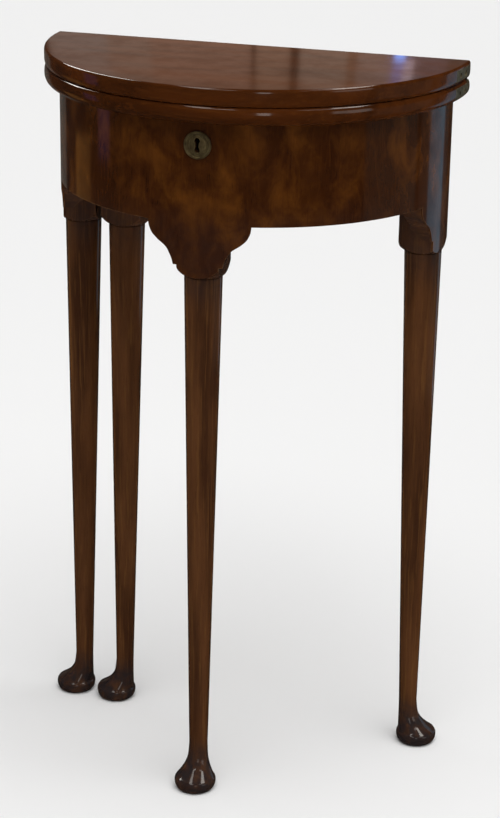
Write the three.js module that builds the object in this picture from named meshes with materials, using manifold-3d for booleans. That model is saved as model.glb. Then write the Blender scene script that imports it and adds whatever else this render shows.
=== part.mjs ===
// A half-round fold-over card table in mahogany, about 1740 in style.
// Two hinged D-shaped leaves lie on a bent frieze with a locked well inside it. Three legs are fixed,
// and a fourth swings back on a wooden knuckle joint to carry the opened top.
// Millimetres, +Z up, -Y is the curved front. The origin is on the floor, below the middle of the plan.
import * as THREE from "three";
import { mergeVertices } from "three/addons/utils/BufferGeometryUtils.js";
import Module from "manifold-3d";

const wasm = await Module();
wasm.setup();

// Whole table
const tableHeight = 720;
const leafRadius = 210;
const clearance = 0.3; // between pieces that touch
const overrun = 6; // how far a cut runs past the face that it opens
const weldDistance = 0.001;

// Leaves
const leafThickness = 16.8;
const jointInset = 3.2; // how far each edge moulding draws in where the two leaves meet
const jointRise = 6.5;
const topArrisInset = 2;
const topArrisRise = 3.4;
const underInset = 6.5; // the lower leaf is rounded well under
const underRise = 8.5;
const leafSteps = 88; // facets round the full circle that the half-round is cut from

// Frieze
const leafOverhang = 14.5; // the leaves stand out this far beyond the frieze
const friezeHeight = 96.4;
const veneerThickness = 2;
const railThickness = 20;
const friezeSteps = 36;

// Legs
const blockSide = 41;
const blockDrop = 52.4; // how far a block reaches below the frieze
const shoulderRise = 12; // rounding of a block's lower corners
const legTopRadius = 18.2;
const ankleRadius = 9.3;
const ankleHeight = 46;
const padRadius = 20.8;
const padShift = 9.8; // the pad is turned on a second centre, this far out
const padRimHeight = 13;
const legSplay = 5; // each leg leans out towards its toe, this far from its block down to the floor
const rearLegInset = 19; // from the frieze's outer face to the rear legs' middles
const backInset = 3; // posts and frieze stop this far short of the top's back edge
const legSides = 20;
const shoulderSides = 24;
// Rounding of a block's lower corners: shares of the corner's reach beyond the leg, and of the rounding's height.
const shoulderShares = [[1, 0], [0.84, 0.3], [0.58, 0.62], [0.28, 0.88], [0, 1]];
// Pad foot: shares of the rim's radius and height, then of the flare from the ankle's radius and of its height.
const rimShares = [
  [0.75, 0], [0.85, 0.07], [0.94, 0.24], [0.99, 0.48], [1, 0.68], [0.97, 0.88], [0.925, 0.96],
];
const flareShares = [
  [0.82, 0], [0.66, 0.09], [0.48, 0.18], [0.32, 0.28], [0.2, 0.39], [0.09, 0.53], [0.036, 0.73],
];

// Ogee brackets below the frieze
const frontBracketWidth = 29.5;
const frontBracketDrop = 40.4;
const rearBracketWidth = 24;
const rearBracketDrop = 38;
// Outline from the frieze's lower edge to the leg: shares of the width and of the drop.
const bracketShares = [
  [1, 0], [0.99, 0.1], [0.95, 0.2], [0.87, 0.31], [0.78, 0.38], [0.63, 0.47],
  [0.46, 0.55], [0.34, 0.63], [0.26, 0.73], [0.18, 0.85], [0.12, 1],
];

// Gate: the fly rail and its leg, with the fixed rail that it is hinged to
const gateLegGap = 48.2; // from the left rear leg's middle to the closed gate leg's
const gateInset = 4; // the gate closes this far inside the posts' back faces
const flyRailThickness = 18;
const gatePinX = 45;
const gatePinRadius = 2.5;
const knuckleCount = 5;

// Joints of the carcass
const tenonThickness = 6;
const tenonLength = 14;
const tenonShoulder = 12; // a tenon is this much shorter than its rail, above and below

// Well floor and the glue blocks that carry it
const floorLift = 13.6; // floor's underside above the frieze's lower edge
const floorThickness = 8;
const glueBlockSize = 12;
const glueBlockLength = 40;
const glueBlockTurn = 48; // degrees from the front to the blocks on the curve
const glueBlockX = 70; // to the blocks on the back rail

// Lock with its bolt, behind the front leg
const keyholeDrop = 21.8; // from the frieze's top to the keyhole's middle
const keyLobeRadius = 2.8;
const keyLobeGap = 8.6; // between the centres of the round ends
const keySlotWidth = 3.6;
const lockSeatDepth = 24; // wood left in front of the lock
const lockWidth = 48;
const lockHeight = 30;
const lockDepth = 11;
const lockWall = 1.5;
const boltThrow = 6;
const fingerWidth = 2.2;
const fingerHeight = 2.7;
const uprightWidth = 3;
const boltHeight = 4.4;
const talonWidth = 6;
const talonDepth = 1.4;
const drillPinRadius = 1;
const stapleX = 9;
const stapleThickness = 2;
const stapleWidth = 5.6;
const stapleDrop = 8.6;
const stapleFoot = 1.9; // metal below the window
const windowWidth = 3;
const windowHeight = 3.5;
const staplePlateLength = 44;
const staplePlateWidth = 10;
const brassThickness = 1.8;
const slotPlay = 0.6;

// Escutcheon
const escutcheonRadius = 13;
const escutcheonThickness = 1.1;
const escutcheonRim = 1.8;
const escutcheonRimHeight = 0.9;
const escutcheonBossWidth = 7.6;
const escutcheonBossHeight = 9.4;
const escutcheonBossRise = 1.2;

// Lid hinges: two butts, one leaf let into each post's back and one into the lid
const lidHingeLength = 28;
const lidHingeDepth = 22;
const barrelRadius = 2.4;
const barrelSides = 16;
const lidPinRadius = 1.1;

// Leaf hinges: brass plates let into the moulded ends, joined by a link on two rivets
const linkReach = 3; // from the plane between the leaves to each rivet
const plateLength = 42;
const plateHeight = 11;
const plateDepth = 7.5; // all measured in from the leaves' widest point
const forkCheek = 2.4;
const forkWidth = 2.4;
const forkDepth = 7.5;
const linkRadius = 2.5;
const rivetRadius = 1.2;
const rivetInset = 1;

// Countersunk screws
const screwHeadRadius = 2.3;
const screwHeadDepth = 1.5;
const screwShankRadius = 1.2;
const screwLength = 11;
const screwSides = 8;
const lidScrewX = 8; // either side of a hinge's middle
const lidScrewDepth = 12; // from the hinge's knuckle
const plateScrewNear = 18; // from the back edge
const plateScrewFar = 33;
const lockScrewX = 17;
const lockScrewLift = 4.5;
const staplePlateScrewX = 17.5;

// Places that follow from the sizes
const leafJointZ = tableHeight - leafThickness - clearance / 2;
const lidUnderZ = leafJointZ - clearance / 2 - leafThickness;
const frameTopZ = lidUnderZ - clearance;
const railBottomZ = frameTopZ - friezeHeight;
const blockBottomZ = railBottomZ - blockDrop;
const shoulderTopZ = blockBottomZ + shoulderRise;
const floorBottomZ = railBottomZ + floorLift;
const floorTopZ = floorBottomZ + floorThickness;
const friezeRadius = leafRadius - leafOverhang;
const coreRadius = friezeRadius - veneerThickness - clearance;
const railInnerRadius = coreRadius - railThickness;
const railMidRadius = coreRadius - railThickness / 2;
const postBackY = -backInset;
const rearLegX = friezeRadius - rearLegInset;
const rearLegY = postBackY - blockSide / 2;
const postFrontY = postBackY - blockSide;
const frontLegY = -friezeRadius + blockSide / 2;
const gateBackY = postBackY - gateInset;
const gateLegX = gateLegGap - rearLegX;
const gateLegY = gateBackY - blockSide / 2;
const flyRailFrontY = gateBackY - flyRailThickness;
const gatePinY = gateBackY - flyRailThickness / 2;
const keyholeHeight = frameTopZ - keyholeDrop;
const lockSeatY = -coreRadius + lockSeatDepth;
const lockFrontY = lockSeatY + clearance;
const lockBackY = lockFrontY + lockDepth;
const lockMidY = (lockFrontY + lockBackY) / 2;
const lockTopZ = frameTopZ - clearance;
const lockBottomZ = lockTopZ - lockHeight;
const axisInset = linkReach - clearance / 2; // rivets from the leaves' back edge
const lidHingeX = rearLegX;
const lidAxisY = postBackY + clearance + barrelRadius;
const lidAxisZ = lidUnderZ - clearance - barrelRadius;
const plateInnerX = leafRadius - plateDepth;
const forkOuterX = leafRadius - forkCheek;
const forkInnerX = forkOuterX - forkWidth;
const rivetOuterX = leafRadius - rivetInset;
const lowRivetZ = leafJointZ - linkReach;
const highRivetZ = leafJointZ + linkReach;
const toeReach = padShift + legSplay + padRadius; // from a leg's middle, at the floor
const frontReach = Math.max(leafRadius, toeReach - frontLegY);
const midY = (frontReach - (lidAxisY + barrelRadius)) / 2;

const finishes = {
  mahogany: { color: 0x5a2a17, roughness: 0.3, metalness: 0 },
  veneer: { color: 0x4a2412, roughness: 0.28, metalness: 0 },
  pine: { color: 0x9a7448, roughness: 0.75, metalness: 0 },
  brass: { color: 0x8f7440, roughness: 0.4, metalness: 1 },
  iron: { color: 0x3a3735, roughness: 0.55, metalness: 1 },
};

const table = new THREE.Group();
table.position.y = midY;

// A closed geometry as a solid that can be cut and joined.
function solid(geometry) {
  const loose = geometry.index ? geometry.toNonIndexed() : geometry;
  const bare = new THREE.BufferGeometry();
  bare.setAttribute("position", loose.getAttribute("position"));
  const merged = mergeVertices(bare, weldDistance);
  return new wasm.Manifold(
    new wasm.Mesh({
      numProp: 3,
      vertProperties: merged.attributes.position.array,
      triVerts: new Uint32Array(merged.index.array),
    }),
  );
}

// Adds a finished solid to the table as a named piece.
function addPiece(name, body, finish) {
  const mesh = body.getMesh();
  const geometry = new THREE.BufferGeometry();
  geometry.setAttribute("position", new THREE.BufferAttribute(new Float32Array(mesh.vertProperties), 3));
  geometry.setIndex(new THREE.BufferAttribute(new Uint32Array(mesh.triVerts), 1));
  geometry.computeVertexNormals();
  const piece = new THREE.Mesh(geometry, new THREE.MeshStandardMaterial(finishes[finish]));
  piece.name = name;
  table.add(piece);
}

// A block between two corners.
function block(low, high) {
  const size = high.map((value, i) => value - low[i]);
  const centre = high.map((value, i) => (value + low[i]) / 2);
  return solid(new THREE.BoxGeometry(...size).translate(...centre));
}

// A rod along x, y or z, between two values of that axis, at the other two coordinates in order.
function rod(axis, radius, from, to, at, sides = screwSides) {
  const geometry = new THREE.CylinderGeometry(radius, radius, to - from, sides);
  const middle = (from + to) / 2;
  if (axis === "x") geometry.rotateZ(-Math.PI / 2).translate(middle, at[0], at[1]);
  if (axis === "y") geometry.translate(at[0], middle, at[1]);
  if (axis === "z") geometry.rotateX(Math.PI / 2).translate(at[0], at[1], middle);
  return solid(geometry);
}

// A turning about +Z: points are [radius, height], up the outside.
function turned(points, sides, x = 0, y = 0) {
  const profile = points.map(([radius, height]) => new THREE.Vector2(radius, height));
  return solid(new THREE.LatheGeometry(profile, sides).rotateX(Math.PI / 2).translate(x, y, 0));
}

// Turns an extrusion along its own z so that its outline lies in the plane across the given axis.
function alongAxis(geometry, axis) {
  if (axis === "x") geometry.rotateZ(Math.PI / 2).rotateY(Math.PI / 2);
  if (axis === "y") geometry.rotateX(Math.PI / 2);
  return geometry;
}

// An outline of points extruded along an axis: [y, z] points for x, [x, z] for y and [x, y] for z.
function prism(axis, points, from, to) {
  const shape = new THREE.Shape(points.map(([u, v]) => new THREE.Vector2(u, v)));
  const geometry = alongAxis(new THREE.ExtrudeGeometry(shape, { depth: to - from, bevelEnabled: false }), axis);
  if (axis === "x") geometry.translate(from, 0, 0);
  if (axis === "y") geometry.translate(0, to, 0);
  if (axis === "z") geometry.translate(0, 0, from);
  return solid(geometry);
}

// A half ring, open at the back, between two radii and two heights.
function halfRing(inner, outer, low, high) {
  const shape = new THREE.Shape();
  shape.absarc(0, 0, outer, Math.PI, 2 * Math.PI);
  shape.absarc(0, 0, inner, 2 * Math.PI, Math.PI, true);
  const options = { depth: high - low, bevelEnabled: false, curveSegments: friezeSteps };
  return solid(new THREE.ExtrudeGeometry(shape, options).translate(0, 0, low));
}

// A half disc with its straight side at the back.
function halfDisc(radius, low, high) {
  const shape = new THREE.Shape();
  shape.absarc(0, 0, radius, Math.PI, 2 * Math.PI);
  const options = { depth: high - low, bevelEnabled: false, curveSegments: friezeSteps };
  return solid(new THREE.ExtrudeGeometry(shape, options).translate(0, 0, low));
}

// The same solid on the other side of the table's middle plane.
function mirrored(body) {
  return body.mirror([1, 0, 0]);
}

// Adds a solid that is drawn for the right side, and its mirror image on the left.
function addPair(name, body, finish) {
  addPiece(name + "_right", body, finish);
  addPiece(name + "_left", mirrored(body), finish);
}

// Quarter of an ellipse as [radius, height] points, from one end to the other.
function quarter(centre, reach, fromAngle, toAngle, steps) {
  return Array.from({ length: steps + 1 }, (_, i) => {
    const angle = THREE.MathUtils.degToRad(fromAngle + ((toAngle - fromAngle) * i) / steps);
    return [centre[0] + reach[0] * Math.cos(angle), centre[1] + reach[1] * Math.sin(angle)];
  });
}

// Ogee outline of a bracket as [outward, height] points, from the frieze down to the leg.
function bracketOutline(width, drop) {
  return bracketShares.map(([across, down]) => [width * across, railBottomZ - drop * down]);
}

// Waste that rounds the lower corners of a leg's block to the turned leg below it.
function shoulderWaste(x, y) {
  const inner = legTopRadius + clearance;
  const outer = blockSide * Math.SQRT1_2 + clearance;
  const sweep = shoulderShares.map(([out, down]) => {
    return [inner + (outer - inner) * out, shoulderTopZ - shoulderRise * down];
  });
  const wide = 2 * outer;
  const bottomZ = blockBottomZ - overrun;
  const points = [[wide, bottomZ], [wide, shoulderTopZ], ...sweep, [inner, bottomZ], [wide, bottomZ]];
  return turned(points, shoulderSides, x, y);
}

// The turned leg with its pad foot: rings whose centres lean and then move out towards the toe.
function turnedLeg(x, y, toe) {
  const lean = (height) => legSplay * Math.max(0, 1 - height / blockBottomZ);
  const rings = rimShares.map(([wide, up]) => [padRadius * wide, padRimHeight * up, padShift]);
  flareShares.forEach(([wide, up]) => {
    const radius = ankleRadius + (padRadius - ankleRadius) * wide;
    const height = padRimHeight + (ankleHeight - padRimHeight) * up;
    rings.push([radius, height, Math.min(radius - ankleRadius, padShift)]);
  });
  rings.push([ankleRadius, ankleHeight, 0]);
  rings.push([legTopRadius, blockBottomZ, 0]);
  rings.push([legTopRadius, shoulderTopZ, 0]);
  const position = [];
  rings.forEach(([radius, height, shift]) => {
    const out = shift + lean(height);
    for (let i = 0; i < legSides; i += 1) {
      const angle = (2 * Math.PI * i) / legSides;
      position.push(x + toe[0] * out + radius * Math.cos(angle));
      position.push(y + toe[1] * out + radius * Math.sin(angle), height);
    }
  });
  const bottom = position.length / 3;
  const toeOut = padShift + lean(0);
  position.push(x + toe[0] * toeOut, y + toe[1] * toeOut, 0);
  position.push(x, y, shoulderTopZ);
  const index = [];
  for (let i = 0; i < legSides; i += 1) {
    const next = (i + 1) % legSides;
    index.push(bottom, next, i);
    const rim = (rings.length - 1) * legSides;
    index.push(bottom + 1, rim + i, rim + next);
    for (let ring = 0; ring < rings.length - 1; ring += 1) {
      const low = ring * legSides;
      const high = low + legSides;
      index.push(low + i, low + next, high + next, low + i, high + next, high + i);
    }
  }
  const geometry = new THREE.BufferGeometry();
  geometry.setAttribute("position", new THREE.Float32BufferAttribute(position, 3));
  geometry.setIndex(index);
  return solid(geometry);
}

// A leg's square block, before what is cut for its own place.
function legBlock(x, y) {
  const half = blockSide / 2;
  const square = block([x - half, y - half, blockBottomZ], [x + half, y + half, frameTopZ]);
  return square.subtract(shoulderWaste(x, y));
}

// A tenon or, with play, the mortise for it: a block grown by the play on every side.
function tenon(low, high, play = 0) {
  return block(low.map((value) => value - play), high.map((value) => value + play));
}

// Keyhole through the front: two round lobes joined by a slot.
function keyhole(fromY, toY) {
  const upper = [0, keyholeHeight + keyLobeGap / 2];
  const lower = [0, keyholeHeight - keyLobeGap / 2];
  const half = keySlotWidth / 2;
  return rod("y", keyLobeRadius, fromY, toY, upper, barrelSides)
    .add(rod("y", keyLobeRadius, fromY, toY, lower, barrelSides))
    .add(block([-half, fromY, lower[1]], [half, toY, upper[1]]));
}

// Tenons of the frieze rails: into the front leg's side and into the rear post's front face.
const frontTenon = {
  low: [blockSide / 2 - tenonLength, -railMidRadius - tenonThickness / 2, railBottomZ + tenonShoulder],
  high: [blockSide / 2 + overrun, -railMidRadius + tenonThickness / 2, frameTopZ - tenonShoulder],
};
const postTenonX = Math.sqrt(railMidRadius ** 2 - postFrontY ** 2);
const postTenon = {
  low: [postTenonX - tenonThickness / 2, postFrontY - overrun, railBottomZ + tenonShoulder],
  high: [postTenonX + tenonThickness / 2, postFrontY + tenonLength, frameTopZ - tenonShoulder],
};
// Tenon of the fixed back rail, into the rear post's inner face.
const postInnerX = rearLegX - blockSide / 2;
const backRailMidY = (postFrontY + flyRailFrontY - clearance) / 2;
const backTenon = {
  low: [postInnerX - overrun, backRailMidY - tenonThickness / 2, railBottomZ + tenonShoulder],
  high: [postInnerX + tenonLength, backRailMidY + tenonThickness / 2, frameTopZ - tenonShoulder],
};
// Tenon of the fly rail, into the gate leg.
const gateInnerX = gateLegX + blockSide / 2;
const flyTenon = {
  low: [gateInnerX - tenonLength, gatePinY - tenonThickness / 2, railBottomZ + tenonShoulder],
  high: [gateInnerX + overrun, gatePinY + tenonThickness / 2, frameTopZ - tenonShoulder],
};

// A countersunk screw along x, y or z. The head's face is at the start, and the shank runs the way of the sign.
function screw(axis, start, sign, at, play = 0, length = screwLength) {
  const head = screwHeadRadius + play;
  const shank = screwShankRadius + play;
  const tip = length + play;
  const mouth = play ? [[0, -overrun], [head, -overrun]] : [[0, 0]];
  const points = [...mouth, [head, 0], [shank, screwHeadDepth + play], [shank, tip], [0, tip]];
  const profile = points.map(([radius, height]) => new THREE.Vector2(radius, height));
  const geometry = new THREE.LatheGeometry(profile, screwSides);
  if (axis === "x") geometry.rotateZ((-sign * Math.PI) / 2).translate(start, at[0], at[1]);
  if (axis === "y") geometry.rotateX(sign > 0 ? 0 : Math.PI).translate(at[0], start, at[1]);
  if (axis === "z") geometry.rotateX((sign * Math.PI) / 2).translate(at[0], at[1], start);
  return solid(geometry);
}

// Screws of the hardware, all drawn for the right side: place, direction and the pieces that they join.
const lidScrews = [-lidScrewX, lidScrewX].map((across) => ({
  frame: ["y", postBackY, -1, [lidHingeX + across, lidAxisZ - lidScrewDepth]],
  lid: ["z", lidUnderZ, 1, [lidHingeX + across, lidAxisY - lidScrewDepth]],
}));
const lowerPlateZ = leafJointZ - clearance / 2 - leafThickness / 2;
const upperPlateZ = leafJointZ + clearance / 2 + leafThickness / 2;
function plateScrew(fromBack, height) {
  const edge = Math.sqrt(leafRadius ** 2 - fromBack ** 2) - clearance;
  return ["x", edge, -1, [-fromBack, height]];
}
const lockScrewAt = ["y", lockBackY, -1, [lockScrewX, lockBottomZ + lockScrewLift]];
const staplePlateScrewAt = ["z", lidUnderZ, 1, [staplePlateScrewX, lockMidY]];
const lockScrewLength = lockDepth + screwLength;

// Front leg: its block is cut back above the well floor so that the lock lies behind a thinner wall.
function frontLeg() {
  const half = blockSide / 2;
  let body = legBlock(0, frontLegY).add(turnedLeg(0, frontLegY, [0, -1]));
  body = body.subtract(halfRing(coreRadius, friezeRadius + overrun, blockBottomZ, frameTopZ + overrun));
  const high = [half + overrun, 0, frameTopZ + overrun];
  body = body.subtract(block([-half - overrun, lockSeatY, floorTopZ], high));
  const mortise = tenon(frontTenon.low, frontTenon.high, clearance);
  body = body.subtract(mortise).subtract(mirrored(mortise));
  body = body.subtract(keyhole(-friezeRadius - overrun, lockSeatY + overrun));
  const hole = screw(...lockScrewAt, clearance, lockScrewLength);
  return body.subtract(hole).subtract(mirrored(hole));
}

// Rear leg on the right. Its post follows the frieze's curve outside and carries a lid hinge.
function rearLeg() {
  let body = legBlock(rearLegX, rearLegY).add(turnedLeg(rearLegX, rearLegY, [1, 0]));
  body = body.subtract(halfRing(coreRadius, friezeRadius + blockSide, blockBottomZ, frameTopZ + overrun));
  body = body.subtract(tenon(postTenon.low, postTenon.high, clearance));
  body = body.subtract(tenon(backTenon.low, backTenon.high, clearance));
  const half = lidHingeLength / 2 + clearance;
  const seatY = postBackY - brassThickness - clearance;
  const seatZ = lidAxisZ - lidHingeDepth - clearance;
  body = body.subtract(block([lidHingeX - half, seatY, seatZ], [lidHingeX + half, 0, frameTopZ + overrun]));
  lidScrews.forEach(({ frame }) => {
    body = body.subtract(screw(...frame, clearance));
  });
  return body;
}

addPiece("front_leg", frontLeg(), "mahogany");
addPair("rear_leg", rearLeg(), "mahogany");

// Curved rails, bricked up in softwood: one from the front leg to each rear post.
function friezeRail() {
  const ring = halfRing(railInnerRadius, coreRadius, railBottomZ, frameTopZ);
  const start = blockSide / 2 + clearance;
  const kept = block([start, -friezeRadius, railBottomZ], [friezeRadius, postFrontY - clearance, frameTopZ]);
  const rail = ring.intersect(kept).add(tenon(frontTenon.low, frontTenon.high));
  return rail.add(tenon(postTenon.low, postTenon.high));
}
addPair("frieze_rail", friezeRail(), "pine");

// Bends a prism drawn across the front (y) or the right side (x) to the frieze's curve: its depth then runs in
// to the middle of the half-round, because brackets are sawn square to the curved face.
function bent(body, axis) {
  return body.warp((point) => {
    const depth = axis === "y" ? -point[1] : point[0];
    const across = axis === "y" ? point[0] : point[1];
    const sine = across / friezeRadius;
    const cosine = Math.sqrt(1 - sine ** 2);
    point[0] = depth * (axis === "y" ? sine : cosine);
    point[1] = depth * (axis === "y" ? -cosine : sine);
  });
}

// Bracket outlines as closed figures, reaching up into the frieze.
function frontBracketFigure(fromX, topZ) {
  const curve = bracketOutline(frontBracketWidth, frontBracketDrop).map(([out, z]) => [blockSide / 2 + out, z]);
  const topCorner = [curve[0][0], topZ];
  return [[fromX, topZ], [fromX, railBottomZ - frontBracketDrop], ...curve.reverse(), topCorner];
}
function rearBracketFigure(fromY, topZ) {
  const curve = bracketOutline(rearBracketWidth, rearBracketDrop).map(([out, z]) => [postFrontY - out, z]);
  return [[fromY, topZ], [curve[0][0], topZ], ...curve, [fromY, railBottomZ - rearBracketDrop]];
}

// Ogee brackets glued under the rails beside the legs.
function frontBracket() {
  const start = blockSide / 2 + clearance;
  const topZ = railBottomZ - clearance;
  const figure = frontBracketFigure(start, railBottomZ);
  const ring = halfRing(railInnerRadius, coreRadius, railBottomZ - frontBracketDrop - overrun, topZ);
  const sawn = bent(prism("y", figure, -friezeRadius - overrun, -railInnerRadius / 2), "y");
  const beside = block([start, -friezeRadius, blockBottomZ], [friezeRadius, 0, topZ]);
  return ring.intersect(sawn).intersect(beside);
}
function rearBracket() {
  const topZ = railBottomZ - clearance;
  const start = postFrontY - clearance;
  const figure = rearBracketFigure(start, railBottomZ);
  const ring = halfRing(railInnerRadius, coreRadius, railBottomZ - rearBracketDrop - overrun, topZ);
  const sawn = bent(prism("x", figure, railInnerRadius / 2, friezeRadius + overrun), "x");
  const beside = block([0, -friezeRadius, blockBottomZ], [friezeRadius, start, topZ]);
  return ring.intersect(sawn).intersect(beside);
}
addPair("bracket_front", frontBracket(), "mahogany");
addPair("bracket_rear", rearBracket(), "mahogany");

// Sawn veneer, one skin round the frieze, the brackets and the outer faces of the posts.
function veneer() {
  const ring = halfRing(coreRadius + clearance, friezeRadius, blockBottomZ, frameTopZ);
  const wide = friezeRadius + overrun;
  const band = block([-wide, -wide, railBottomZ], [wide, postBackY, frameTopZ + overrun]);
  const overlapZ = railBottomZ + overrun;
  const front = bent(prism("y", frontBracketFigure(0, overlapZ), -wide, -railInnerRadius / 2), "y");
  const half = blockSide / 2;
  const frontStrip = block([-half, -wide, blockBottomZ], [half, -railInnerRadius / 2, overlapZ]);
  const rearFigure = rearBracketFigure(postFrontY + overrun, overlapZ);
  const rear = bent(prism("x", rearFigure, railInnerRadius / 2, wide), "x");
  const rearStrip = block([railInnerRadius / 2, postFrontY, blockBottomZ], [wide, postBackY, overlapZ]);
  let kept = band.add(front).add(mirrored(front)).add(frontStrip);
  kept = kept.add(rear).add(mirrored(rear)).add(rearStrip).add(mirrored(rearStrip));
  let body = ring.intersect(kept).subtract(shoulderWaste(0, frontLegY));
  body = body.subtract(shoulderWaste(rearLegX, rearLegY)).subtract(shoulderWaste(-rearLegX, rearLegY));
  return body.subtract(keyhole(-wide, -railInnerRadius));
}
addPiece("frieze_veneer", veneer(), "veneer");

// Fixed back rail of the well, between the rear posts.
function backRail() {
  const end = postInnerX - clearance;
  const body = block([-end, postFrontY, railBottomZ], [end, flyRailFrontY - clearance, frameTopZ]);
  const right = tenon(backTenon.low, backTenon.high);
  return body.add(right).add(mirrored(right));
}
addPiece("back_rail", backRail(), "pine");

// The knuckle joint: heights of the fingers, from the bottom, the fixed rail's and the fly rail's in turn.
const knuckleHeight = friezeHeight / knuckleCount;
function knuckleZones(first, play) {
  const zones = [];
  for (let i = first; i < knuckleCount; i += 2) {
    const low = railBottomZ + i * knuckleHeight;
    zones.push([low - play, low + knuckleHeight + play]);
  }
  return zones;
}

// One rail of the knuckle joint, drawn along +X from the pin: its own fingers, and hollows for the other's.
function knuckledRail(length, ownFirst, otherFirst) {
  const half = flyRailThickness / 2;
  let body = block([0, -half, railBottomZ], [length, half, frameTopZ]);
  // The back corner is cut to 45 degrees, so that the open rails meet on the slope.
  const bevel = half + overrun;
  const low = railBottomZ - overrun;
  const high = frameTopZ + overrun;
  body = body.subtract(prism("z", [[0, 0], [bevel, bevel], [0, bevel]], low, high));
  knuckleZones(ownFirst, -clearance / 2).forEach(([bottom, top]) => {
    const from = bottom - railBottomZ < clearance ? railBottomZ : bottom;
    const to = frameTopZ - top < clearance ? frameTopZ : top;
    body = body.add(rod("z", half, from, to, [0, 0], legSides));
  });
  knuckleZones(otherFirst, clearance / 2).forEach(([bottom, top]) => {
    const from = bottom - railBottomZ < clearance ? low : bottom;
    const to = frameTopZ - top < clearance ? high : top;
    body = body.subtract(rod("z", half + clearance, from, to, [0, 0], legSides));
  });
  return body.subtract(rod("z", gatePinRadius + clearance, low, high, [0, 0], legSides));
}

// Fixed half of the knuckle joint, glued to the back rail, up to the right post.
const fixedRail = knuckledRail(postInnerX - clearance - gatePinX, 0, 1).translate([gatePinX, gatePinY, 0]);
addPiece("fixed_hinge_rail", fixedRail, "mahogany");
const gatePin = rod("z", gatePinRadius, railBottomZ, frameTopZ, [gatePinX, gatePinY], legSides);
addPiece("gate_pin", gatePin, "iron");

// Fly rail, the swinging half, tenoned into the gate leg.
const flyRailBody = knuckledRail(gatePinX - gateInnerX - clearance, 1, 0);
const flyRail = mirrored(flyRailBody).translate([gatePinX, gatePinY, 0]);
addPiece("fly_rail", flyRail.add(tenon(flyTenon.low, flyTenon.high)), "mahogany");

// Gate leg: above the frieze's lower edge its block is cut back to clear the fixed back rail.
function gateLeg() {
  const half = blockSide / 2 + overrun;
  let body = legBlock(gateLegX, gateLegY).add(turnedLeg(gateLegX, gateLegY, [-1, 0]));
  const low = [gateLegX - half, gateLegY - half, railBottomZ - clearance];
  body = body.subtract(block(low, [gateLegX + half, flyRailFrontY, frameTopZ + overrun]));
  return body.subtract(tenon(flyTenon.low, flyTenon.high, clearance));
}
addPiece("gate_leg", gateLeg(), "mahogany");

// Floor of the well, notched round the front leg.
function wellFloor() {
  const half = blockSide / 2 + clearance;
  const low = floorBottomZ - overrun;
  const high = floorTopZ + overrun;
  const behind = block([-friezeRadius, postFrontY - clearance, low], [friezeRadius, overrun, high]);
  const notch = block([-half, -friezeRadius, low], [half, frontLegY + half, high]);
  return halfDisc(railInnerRadius - clearance, floorBottomZ, floorTopZ).subtract(behind).subtract(notch);
}
addPiece("well_floor", wellFloor(), "pine");

// Glue blocks under the floor: two on the curved rails and two on the back rail.
const glueTopZ = floorBottomZ - clearance;
const glueBottomZ = glueTopZ - glueBlockSize;
function curvedGlueBlock() {
  const outer = railInnerRadius - clearance;
  const geometry = new THREE.BoxGeometry(glueBlockLength, 2 * glueBlockSize, glueBlockSize);
  geometry.translate(0, -outer, (glueTopZ + glueBottomZ) / 2);
  geometry.rotateZ(THREE.MathUtils.degToRad(glueBlockTurn));
  return solid(geometry).intersect(halfDisc(outer, glueBottomZ - overrun, glueTopZ + overrun));
}
addPair("glue_block_front", curvedGlueBlock(), "pine");
function rearGlueBlock() {
  const back = postFrontY - clearance;
  const half = glueBlockLength / 2;
  return block([glueBlockX - half, back - glueBlockSize, glueBottomZ], [glueBlockX + half, back, glueTopZ]);
}
addPair("glue_block_rear", rearGlueBlock(), "pine");

// Bolt and staples of the lock, from the top down.
const stapleBottomZ = lidUnderZ - stapleDrop;
const windowLowZ = stapleBottomZ + stapleFoot;
const windowMidZ = windowLowZ + windowHeight / 2;
const fingerLowZ = windowMidZ - fingerHeight / 2;
const fingerHighZ = windowMidZ + fingerHeight / 2;
const boltTopZ = stapleBottomZ - slotPlay;
const boltLowZ = boltTopZ - boltHeight;
const fingerStart = stapleThickness / 2 + clearance + boltThrow; // behind each staple's middle
const fingerLength = boltThrow - clearance;

// Brass lock case behind the front leg, with slots for the staples and a pin for the key.
function lockCase() {
  const half = lockWidth / 2;
  const inside = half - lockWall;
  let body = block([-half, lockFrontY, lockBottomZ], [half, lockBackY, lockTopZ]);
  const low = [-inside, lockFrontY + lockWall, lockBottomZ + lockWall];
  body = body.subtract(block(low, [inside, lockBackY - lockWall, lockTopZ - lockWall]));
  [-stapleX, stapleX].forEach((x) => {
    const halfX = stapleThickness / 2 + slotPlay;
    const halfY = stapleWidth / 2 + 2 * slotPlay;
    const corner = [x - halfX, lockMidY - halfY, lockTopZ - 2 * lockWall];
    body = body.subtract(block(corner, [x + halfX, lockMidY + halfY, lockTopZ + overrun]));
  });
  body = body.subtract(keyhole(lockFrontY - overrun, lockFrontY + 2 * lockWall));
  const pinAt = [0, keyholeHeight + keyLobeGap / 2];
  body = body.add(rod("y", drillPinRadius, lockFrontY, lockBackY - lockWall / 2, pinAt));
  const hole = screw(...lockScrewAt, clearance, lockScrewLength);
  return body.subtract(hole).subtract(mirrored(hole));
}
addPiece("lock_case", lockCase(), "brass");

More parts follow.
